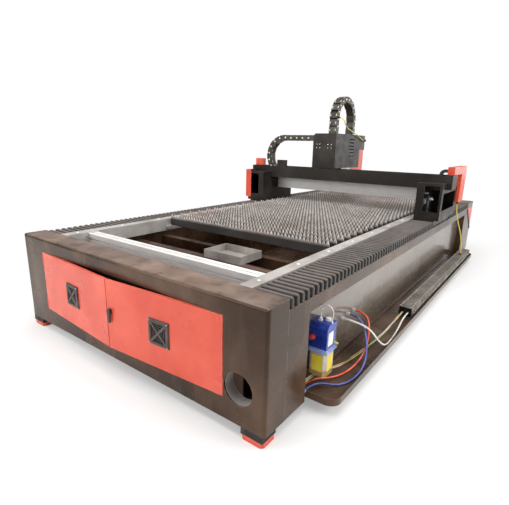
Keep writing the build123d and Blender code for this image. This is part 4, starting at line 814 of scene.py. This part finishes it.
def make_slats():
    """Rows of toothed blades, each leaning a little differently, with tips burned down unevenly."""
    rng = random.Random(11)
    made = Maker()
    pitch = 2 * SLAT_HALF / SLAT_TEETH
    for row in range(SLAT_ROWS):
        front = SLAT_FRONT + SLAT_STEP * row
        lean = rng.uniform(-1.5, 1.5) * SLAT_LEAN
        outline = []
        for tooth in range(SLAT_TEETH):
            x = -SLAT_HALF + tooth * pitch
            tip = SLAT_TIP - rng.random() ** 3 * SLAT_BURN
            outline += [
                (x, SLAT_GAP - 1.5 + rng.uniform(-1, 1)),
                (x + pitch * 0.05, SLAT_GAP),
                (x + pitch * 0.43, tip),
                (x + pitch * 0.57, tip - rng.uniform(0, 2)),
                (x + pitch * 0.95, SLAT_GAP),
            ]
        outline.append((SLAT_HALF, SLAT_GAP - 2.5))
        low, back = SLAT_LOW, front + SLAT_SHEET
        rings = []
        for x, z in outline:
            tips = [(x, front + lean, z), (x, back + lean, z)]
            rings.append([(x, front, low), *tips, (x, back, low)])
        made.loft(rings)
    piece = made.done("slat_blades", "slat_steel", "bed", "slat_steel")
    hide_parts("table_slats")


make_slats()


# Bellows

BELLOWS_INNER = 893
BELLOWS_OUTER = 1100
BELLOWS_TOP = TOP - 2
BELLOWS_LOW = TOP - 58
FRONT_Y = (165, 2730)
FRONT_FOLDS = 53
FRONT_CUT = 8
REAR_Y = (3380, 4480)
REAR_FOLDS = 23
# One fold: share of its pitch, and how far it lies below the top. A flat lamella, a narrow groove.
FOLD = (
    (0.0, 16), (0.30, 17), (0.37, 5), (0.42, 1.5), (0.49, 0.5), (0.86, 2.0), (0.91, 4), (0.96, 15)
)


def bellows_section(side, sunk):
    """Points across a bellows, from its inner foot over the top to its outer foot."""
    top = BELLOWS_TOP - sunk
    inner, outer = BELLOWS_INNER, BELLOWS_OUTER - sunk
    ring = [
        (inner, BELLOWS_LOW),
        (inner, top - 7),
        (inner + 2, top - 2),
        (inner + 7, top),
        (outer - 12, top),
        (outer - 4, top - 3),
        (outer, top - 12),
        (outer, BELLOWS_LOW),
    ]
    return [(side * x, z) for x, z in ring]


def bellows_piece(name, side, y, folds, first, last):
    """Folds first to last of a bellows that runs over y."""
    made = Maker()
    pitch = (y[1] - y[0]) / folds
    steps = [(fold + along, sunk) for fold in range(first, last) for along, sunk in FOLD]
    steps.append((last, FOLD[0][1]))
    rings = []
    for step, sunk in steps:
        rings.append([(x, y[0] + step * pitch, z) for x, z in bellows_section(side, sunk)])
    made.loft(rings, closed_ring=False, capped=False)
    return made.done(name, "bellows_cloth", None, "bellows_cloth")


def smooth_place(share):
    """The place along a blend where its weight is share."""
    low, high = 0.0, 1.0
    for _ in range(60):
        place = (low + high) / 2
        if 3 * place**2 - 2 * place**3 < share:
            low = place
        else:
            high = place
    return (low + high) / 2


def make_bellows():
    """The front bellows close up nearly flat; each is made as three pieces that meet end to end."""
    y, folds, cut = FRONT_Y, FRONT_FOLDS, FRONT_CUT
    span = y[1] - y[0]
    share = cut / folds
    edge = smooth_place(share)
    reach = (0.5 - share) / (1 - 2 * edge)
    spans = {
        "a": (0, cut, y[0], y[0] + span * share / edge),
        "b": (cut, folds - cut, y[0] + span * (0.5 - reach), y[0] + span * (0.5 + reach)),
        "c": (folds - cut, folds, y[1] - span * share / edge, y[1]),
    }
    for side, word in BOTH_SIDES:
        for letter, (first, last, start, end) in spans.items():
            piece = bellows_piece(f"front_{word}_pleats_{letter}", side, y, folds, first, last)
            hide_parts(f"front_{word}_bellows")
            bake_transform(piece)
        piece = bellows_piece(f"rear_{word}_pleats", side, REAR_Y, REAR_FOLDS, 0, REAR_FOLDS)
        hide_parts(f"rear_{word}_bellows")
        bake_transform(piece)


make_bellows()


# Drag chains

SIDE_START = (1180, 1800, 113)
SIDE_LENGTH = 2460
CROSS_START = (-768, 2998, TOP + 332)
CROSS_RADIUS = 214
CROSS_LOWER = 828
CROSS_UPPER = 413
LOOP_START = (-148, 3010, CROWN)
LOOP_RADIUS = 220
LOOP_LEG = 158
# Links: side plates, lids and pins
PLATE_THICK = 5
PLATE_SETIN = 2
PLATE_STAGGER = 2.5
LID_SETIN = 8
LID_THICK = 6.5
PIN_HEIGHT = 4.9
CABLES = ((-0.27, 0.26), (0.0, 0.3), (0.27, 0.26))
CABLE_SIDES = 10


def rounded_outline(half_length, half_height, corner):
    """Points round a rectangle with rounded corners."""
    ring = []
    for quarter, (sx, sz) in enumerate(((1, 1), (-1, 1), (-1, -1), (1, -1))):
        x, z = sx * (half_length - corner), sz * (half_height - corner)
        for k in range(5):
            a = math.pi / 2 * (quarter + k / 4)
            ring.append((x + corner * math.cos(a), z + corner * math.sin(a)))
    return ring


def placed(place, ring, sides):
    """A ring of (x, z), set at each y of sides, in a link's own place."""
    return [[place @ Vector((x, y, z)) for x, z in ring] for y in sides]


def chain_link(made, pins, place, pitch, width, height, inset):
    """One link about its middle: two overlapping side plates with pins, a lid and a floor."""
    small = min(pitch, height)
    outline = rounded_outline(0.57 * pitch, height / 2, 0.36 * small)
    pin = 0.15 * small + 0.5
    dome = [(pin, 0), (pin, PIN_HEIGHT - 0.7), (pin * 0.8, PIN_HEIGHT), (0.05, PIN_HEIGHT)]
    for side in (-1, 1):
        outer = side * (width / 2 - PLATE_SETIN - inset)
        made.loft(placed(place, outline, (outer, outer - side * PLATE_THICK)))
        centre = place @ Vector((pitch * 0.5, side * (width / 2 - PLATE_THICK), 0))
        pins.lathe(centre, place.to_3x3() @ Vector((0, side, 0)), dome, 12)
    half, reach = width / 2 - LID_SETIN, 0.45 * pitch
    for level in (-1, 1):
        high = level * (height / 2 - 0.5)
        low = high - level * LID_THICK
        ring = [(-reach, low), (reach, low), (reach - 2, high), (-reach + 2, high)]
        made.loft(placed(place, ring, (-half, half)))


def frame_from(place, along, up):
    along, up = Vector(along).normalized(), Vector(up).normalized()
    turn = Matrix((along, up.cross(along), up)).transposed().to_4x4()
    return Matrix.Translation(Vector(place)) @ turn


def chain_pieces(path, length, links, width, height):
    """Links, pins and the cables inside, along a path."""
    made, pins, inside = Maker(), Maker(), Maker()
    pitch = length / links
    for k in range(links):
        place = frame_from(*path((k + 0.5) * pitch))
        chain_link(made, pins, place, pitch, width, height, PLATE_STAGGER * (k % 2))
        for shift in (-1, 1):
            x, y, z = 0.16 * pitch, shift * (width / 2 - 13), height / 2
            ring = [(-x, y - 4), (x, y - 4), (x, y + 4), (-x, y + 4)]
            pins.loft([[place @ Vector((a, b, c)) for a, b in ring] for c in (z - 3, z - 0.1)])
    for shift, share in CABLES:
        middle, radius = shift * (width - 16), share * (height - 18)
        rings = []
        for k in range(2 * links + 1):
            place = frame_from(*path(min(max(k * pitch / 2, 8), length - 8)))
            ring = []
            for a in full_turn(CABLE_SIDES):
                ring.append(
                    place @ Vector((0, middle + radius * math.cos(a), radius * math.sin(a)))
                )
            rings.append(ring)
        inside.loft(rings)
    return made, pins, inside


def side_path(distance):
    x, y, z = SIDE_START
    return (x, y + distance, z), (0, 1, 0), (0, 0, 1)


def cross_path(distance):
    """Along the trough to the left, round the bend and back to the head housing."""
    bend = math.pi * CROSS_RADIUS
    turn = min(max(distance - CROSS_LOWER, 0), bend) / CROSS_RADIUS
    out = CROSS_LOWER - min(distance, CROSS_LOWER)
    straight = out + max(distance - CROSS_LOWER - bend, 0)
    sine, cosine = math.sin(turn), math.cos(turn)
    x, y, z = CROSS_START
    place = (x + straight - CROSS_RADIUS * sine, y, z + CROSS_RADIUS - CROSS_RADIUS * cosine)
    return place, (-cosine, 0, sine), (sine, 0, cosine)


def loop_path(distance):
    """Up from the head housing, over and down again."""
    bend = math.pi * LOOP_RADIUS
    turn = min(max(distance - LOOP_LEG, 0), bend) / LOOP_RADIUS
    rise = min(distance, LOOP_LEG) - max(distance - LOOP_LEG - bend, 0)
    sine, cosine = math.sin(turn), math.cos(turn)
    x, y, z = LOOP_START
    place = (x, y + LOOP_RADIUS - LOOP_RADIUS * cosine, z + rise + LOOP_RADIUS * sine)
    return place, (0, sine, cosine), (0, -cosine, sine)


def make_chains():
    cross_length = CROSS_LOWER + math.pi * CROSS_RADIUS + CROSS_UPPER
    loop_length = 2 * LOOP_LEG + math.pi * LOOP_RADIUS
    chains = {
        "side": (side_path, SIDE_LENGTH, 52, 110, 92, "side_chain", "bed"),
        "cross": (cross_path, cross_length, 24, 95, 65, "chain_plastic", None),
        "loop": (loop_path, loop_length, 13, 95, 65, "chain_plastic", "head"),
    }
    for word, (path, length, links, width, height, look, body) in chains.items():
        made, pins, inside = chain_pieces(path, length, links, width, height)
        pieces = [
            made.done(word + "_chain_links", look, body, "chain_plastic", 35),
            pins.done(word + "_chain_pins", "pin_pale", body, "fitting_plastic", 35),
            inside.done(word + "_chain_cables", "cable_black", body, "chain_plastic", 50),
        ]
        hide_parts(word + "_drag_chain")
        if word == "cross":
            for piece in pieces:
                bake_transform(piece)


make_chains()


# Small parts of the bed

DOOR_HINGE = 842
DOOR_AJAR = 4
CAP_X = 845
CAP_STEP = 386
CAP_COUNT = 11
VENT_X, VENT_Z = 421.75, 394.5
VENT_RINGS = (18, 30, 42, 54)
VENT_BAR = 1.6
VENT_SCREWS = 66
LATCH_X, LATCH_Z = 27.5, 421
# The latch lever's sections: height, half width, front and back
LEVER = (
    (437.5, 5, -13, -8), (434, 12, -16, -7.5), (421, 15, -17.5, -7), (404, 11, -16, -7),
    (380, 9, -15, -8), (360, 10, -16, -8), (354, 9, -16, -8.5), (351.3, 4, -14, -10),
)
# Wiring ducts: half length, depth and height
DUCTS = {
    "bar_duct": (760, (345, 395), (TOP - 140, TOP - 92)),
    "cabinet_duct": (600, (66, 102), (TOP - 175, TOP - 120)),
}
DUCT_SLOT = 20
PORT_X, PORT_Z = 938, 257
GUSSET_X = 1099.5
FIT_REACH = 20
TANK_Z = (192, 284)
PUMP_SIDE = 1147.6


def ajar(side):
    """A door leaf's turn about its hinge."""
    hinge = Vector((side * DOOR_HINGE, 0, 0))
    turn = Matrix.Rotation(math.radians(side * DOOR_AJAR), 4, "Z")
    return Matrix.Translation(hinge) @ turn @ Matrix.Translation(-hinge)


def make_strip_caps():
    caps = Maker()
    profile = [(11, 0), (11, 1.5), (9, 3.6), (5, 4.6), (0.1, 4.8)]
    for side, _ in BOTH_SIDES:
        for k in range(CAP_COUNT):
            caps.lathe((side * CAP_X, 275 + CAP_STEP * k, TOP), (0, 0, 1), profile, 18)
    caps.done("strip_caps", "pale_plastic", "bed", "fitting_plastic", 40)


def make_vents():
    """Square rings and a hub in each door vent, with a screw at each corner."""
    for side, word in BOTH_SIDES:
        x, z = side * VENT_X, VENT_Z
        leaf = f"{word}_door_leaf"
        rings = Maker()
        for half in VENT_RINGS:
            for a, b in ((1, 0), (-1, 0), (0, 1), (0, -1)):
                wide, high = (half + VENT_BAR, VENT_BAR) if b else (VENT_BAR, half + VENT_BAR)
                bar_x, bar_z = x + a * half, z + b * half
                rings.block(
                    (bar_x - wide, bar_x + wide), (-9, -4), (bar_z - high, bar_z + high), 0.5
                )
        rings.lathe((x, -5, z), (0, -1, 0), [(11, 0), (11, 3), (8, 4.6), (0.1, 4.8)], 18)
        rings.turned(ajar(side))
        rings.done(f"{word}_vent_rings", "vent_plastic", leaf, "vent_plastic", 40)
        screws = Maker()
        for a in (-VENT_SCREWS, VENT_SCREWS):
            for b in (-VENT_SCREWS, VENT_SCREWS):
                screws.screw((x + a, -9.6, z + b), (0, -1, 0), 4.5)
        screws.turned(ajar(side))
        screws.done(f"{word}_vent_screws", "guide_steel", leaf, "guide_steel", 40)


def make_latch():
    base = Maker()
    profile = [(16.5, 0), (16.5, 3), (14.5, 4.5), (12, 5), (12, 8), (0.1, 8)]
    base.lathe((LATCH_X, 0, LATCH_Z), (0, -1, 0), profile, 24)
    base.turned(ajar(1))
    base.done("latch_base", "latch_metal", "right_door_leaf", "latch_metal", 40)
    lever = Maker()
    rings = []
    for z, half, front, back in LEVER:
        left, right = LATCH_X - half, LATCH_X + half
        ring = [(left, back), (right, back), (right, front + 2)]
        ring += [(right - 2, front), (left + 2, front), (left, front + 2)]
        rings.append([(x, y, z) for x, y in ring])
    lever.loft(rings)
    lever.lathe((LATCH_X, -7, LATCH_Z), (0, 1, 0), [(9, 0), (9, 7), (0.1, 7)], 18)
    lever.turned(ajar(1))
    piece = lever.done("latch_lever", "latch_metal", "latch", "latch_metal", 40)
    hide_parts("door_latch")


def make_ducts():
    """Slotted wiring ducts under the cross bar and inside the front cabinet."""
    rng = random.Random(5)
    for name, (half, y, z) in DUCTS.items():
        duct, ends = Maker(), Maker()
        duct.block((-half, half), y, z, 2)
        count = round(2 * half / DUCT_SLOT)
        for k in range(count):
            x = -half + 2 * half * (k + 0.5) / count
            duct.block((x - 6, x + 6), (y[0] - 4, y[0] + 1), (z[0] + 8, z[1] - 8), 1)
            if rng.random() < 0.35:
                ends.block((x - 4, x + 4), (y[0] - 6, y[0] - 3), (z[0] + 14, z[0] + 22), 0.8)
        if name == "cabinet_duct":
            for x in (-420, 0, 420):
                duct.block((x - 16, x + 16), (y[1] - 12, y[1] - 8), (z[1] - 4, TOP - 8), 1)
        duct.done(name, "cable_black", "bed", "chain_plastic")
        ends.done(name + "_ends", "pale_plastic", "bed", "fitting_plastic")


def make_port_liner():
    """Bare sheet liner in the exhaust port's collar."""
    made = Maker()
    outer, inner, front, back = 85.7, 83.5, 9, 69
    rings = []
    corners = ((outer, front), (outer, back), (inner, back), (inner, front), (outer, front))
    for radius, y in corners:
        turns = full_turn(48)
        rings.append(
            [(PORT_X + radius * math.cos(a), y, PORT_Z + radius * math.sin(a)) for a in turns]
        )
    made.loft(rings, capped=False)
    bmesh.ops.remove_doubles(made.bm, verts=made.bm.verts, dist=0.01)
    made.done("port_liner", "grey_sheet", "bed", "grey_sheet", 40)


def make_rear_plate():
    """Red gusset and its stiffener on the right side of the rear frame."""
    plate = Maker()
    corners = [(4502, TOP - 74), (4836, TOP - 74), (4836, TOP - 350)]
    plate.loft([[(x, y, z) for y, z in corners] for x in (GUSSET_X, GUSSET_X + 2)])
    plate.done("rear_gusset", "red_paint", "bed", "red_paint")
    bar = Maker()
    a, b = Vector((0, 4498, TOP - 82)), Vector((0, 4838, TOP - 368))
    off = Vector((0, (b - a).z, -(b - a).y)).normalized() * 14
    for low, high, width in ((0, 4.5, 1.0), (4.5, 6.5, 0.6)):
        ring = [a + off * width, b + off * width, b - off * width, a - off * width]
        bar.loft([[(GUSSET_X + x, p.y, p.z) for p in ring] for x in (low, high)])
    bar.done("rear_stiffener", "gantry_paint", "bed", "black_paint")


def push_fit(made, place, axis):
    made.lathe(place, axis, [(12.5, 0), (12.5, 7), (11.5, 8)], 6)
    sleeve = [(9.5, 7.5), (9.5, 14), (10.5, 14.5), (10.5, 18.5), (9.2, 19.8), (6.2, 19.8)]
    made.lathe(place, axis, sleeve)


def make_fittings():
    made = Maker()
    for route in (RED_ROUTE, BLUE_ROUTE, WHITE_ROUTE):
        push_fit(made, Vector(route[0]) - Vector((FIT_REACH, 0, 0)), (1, 0, 0))
    for route in (RED_ROUTE, BLUE_ROUTE, WIRE_ROUTE):
        push_fit(made, Vector(route[-1]) - Vector((0, FIT_REACH, 0)), (0, 1, 0))
    piece = made.done("push_fits", "fitting_plastic", "bed", "fitting_plastic", 40)
    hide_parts("hose_fittings")


def make_glands():
    """Rubber boots where the fibers end."""
    foot = Vector(GANTRY_ROUTE[-1]) - Vector((0, 0, 3))
    boot = [(13, 0), (13, 6), (9.5, 8), (9.5, 20), (7.2, 24), (6.2, 24)]
    gland = [(14, 0), (14, 6), (10, 9), (9, 30), (7, 34), (6.2, 34)]
    upper = [(11, 0), (11, 7), (8.5, 9), (7, 24), (5.2, 24)]
    lower = [(11, 0), (11, 8), (8.5, 10), (7, 26), (5.2, 26)]
    glands = {
        "fiber_boot": ("gantry", [(foot, (0, 0, 1), boot, 20)]),
        "cover_gland": ("gantry", [(GANTRY_ROUTE[0], (0, 0, -1), gland, 20)]),
        "head_glands": (
            "head",
            [(HEAD_ROUTE[0], (1, 0, 0), upper, 18), (HEAD_ROUTE[-1], (0, -1, 0), lower, 18)],
        ),
    }
    for name, (body, shapes) in glands.items():
        made = Maker()
        for shape in shapes:
            made.lathe(*shape)
        made.done(name, "cable_black", body, "chain_plastic", 40)


def make_lubricator():
    ledge = Maker()
    ledge.block((1033, 1156.4), (469.6, 590.4), (305.6, 318.4), 2.5)
    ledge.block((1033, 1149), (476.5, 583.5), (318, 325), 1.5)
    ledge.block((1041, 1149), (476.5, 583.5), (299, 306), 1.5)
    ledge.done("pump_ledge", "pump_ledge", "bed", "pump_blue", 35)
    caps = Maker()
    filler = [(14, 0), (14, 3), (11, 4), (11, 12), (7, 16), (5, 22), (3.2, 22)]
    caps.lathe(PUMP_ROUTE[0], (0, 0, 1), filler)
    caps.lathe(PUMP_ROUTE[-1], (0, 0, 1), [(6, 0), (6, 8), (4.5, 11), (3.2, 11)], 16)
    lid = [(17, 0), (17, 4), (15, 5), (15, 12), (12, 15), (0.1, 15)]
    caps.lathe((1110, 556, PUMP_TOP), (0, 0, 1), lid, 22)
    caps.done("pump_caps", "pale_plastic", "bed", "fitting_plastic", 35)
    knob = Maker()
    grip = [(17, 0), (17, 3), (14, 4), (14, 12), (11.5, 14.5), (0.1, 15)]
    knob.lathe((1062, 478, 384), (0, -1, 0), grip, 22)
    knob.done("pump_knob", "cap_red", "bed", "red_paint", 35)
    outlet = Maker()
    mouth = (1148, 572, 340)
    outlet.lathe(mouth, (1, 0, 0), [(9, 0), (9, 7), (7, 8)], 6)
    outlet.lathe(mouth, (1, 0, 0), [(6.5, 7), (6.5, 18), (4.5, 21), (0.1, 21)], 18)
    outlet.done("pump_outlet", "outlet_green", "bed", "fitting_plastic", 35)
    fields = Maker()
    fields.block((PUMP_SIDE, PUMP_SIDE + 1.3), (500, 560), TANK_Z, 0.4)
    fields.block((1066, 1130), (477.1, 478.4), TANK_Z, 0.4)
    fields.done("tank_fields", "field_yellow", "bed", "tank_plastic")
    face = Maker()
    face.block((PUMP_SIDE, PUMP_SIDE + 1.8), (492, 548), (344, 420), 0.6)
    face.block((PUMP_SIDE + 1.4, PUMP_SIDE + 2.6), (500, 540), (372, 412), 0.4)
    for y in (497, 543):
        for z in (349, 415):
            face.screw((PUMP_SIDE + 1.6, y, z), (1, 0, 0), 2.6)
    face.done("pump_face", "pale_plastic", "bed", "fitting_plastic")
    screws = Maker()
    for y in (480, 580):
        for x in (1048, 1148):
            screws.screw((x, y, 318.4), (0, 0, 1), 4)
    screws.done("pump_screws", "guide_steel", "bed", "guide_steel", 40)


# Small parts of the gantry and the head

MOTOR_X, MOTOR_Y, MOTOR_TOP = 958, 2850, TOP + 246
BOX_FRONT = 2797
HOUSING_FRONT = 2930
HOUSING_SIDE = -70


def make_motor_plugs():
    """A round plug, an end cap and a terminal box on each drive motor."""
    plug = [(13, 0), (13, 8), (17, 10), (17, 26), (12, 30), (12, 40), (8, 44), (0.1, 44)]
    cap = [(30, 0), (30, 14), (26, 20), (0.1, 20)]
    inlet = [(9, 0), (9, 8), (7, 10), (7, 20), (0.1, 20)]
    for side, word in BOTH_SIDES:
        x = side * MOTOR_X
        plugs = Maker()
        plugs.lathe((x + side * 36, MOTOR_Y, TOP + 196), (side, 0, 0), plug, 22)
        plugs.lathe((x, MOTOR_Y, MOTOR_TOP), (0, 0, 1), cap, 24)
        plugs.block((x - 26, x + 26), (BOX_FRONT, BOX_FRONT + 16), (TOP + 150, TOP + 206), 3)
        plugs.block((x - 20, x + 20), (BOX_FRONT - 3, BOX_FRONT + 1), (TOP + 156, TOP + 200), 1)
        for shift in (-22, 22):
            for lift in (154, 202):
                plugs.screw((x + shift, BOX_FRONT + 0.2, TOP + lift), (0, -1, 0), 3.2)
        plugs.lathe((x, BOX_FRONT + 8, TOP + 151), (0, 0, -1), inlet, 6)
        plugs.done(f"{word}_motor_plugs", "head_metal", "gantry", "head_metal", 35)


def make_housing_screws():
    screws = Maker()
    for columns, rows in (((-306, -268), (693, 654)), ((-167, -124), (690, 652))):
        for lift in rows:
            for x in columns:
                screws.screw((x, HOUSING_FRONT, TOP + lift), (0, -1, 0), 6.5)
    for y, lift in ((2964, 730), (3166, 701)):
        screws.screw((HOUSING_SIDE, y, TOP + lift), (1, 0, 0), 6.5)
    screws.done("housing_screws", "guide_steel", "head", "guide_steel", 40)


make_strip_caps()
make_vents()
make_latch()
make_ducts()
make_port_liner()
make_rear_plate()
make_fittings()
make_glands()
make_lubricator()
make_motor_plugs()
make_housing_screws()
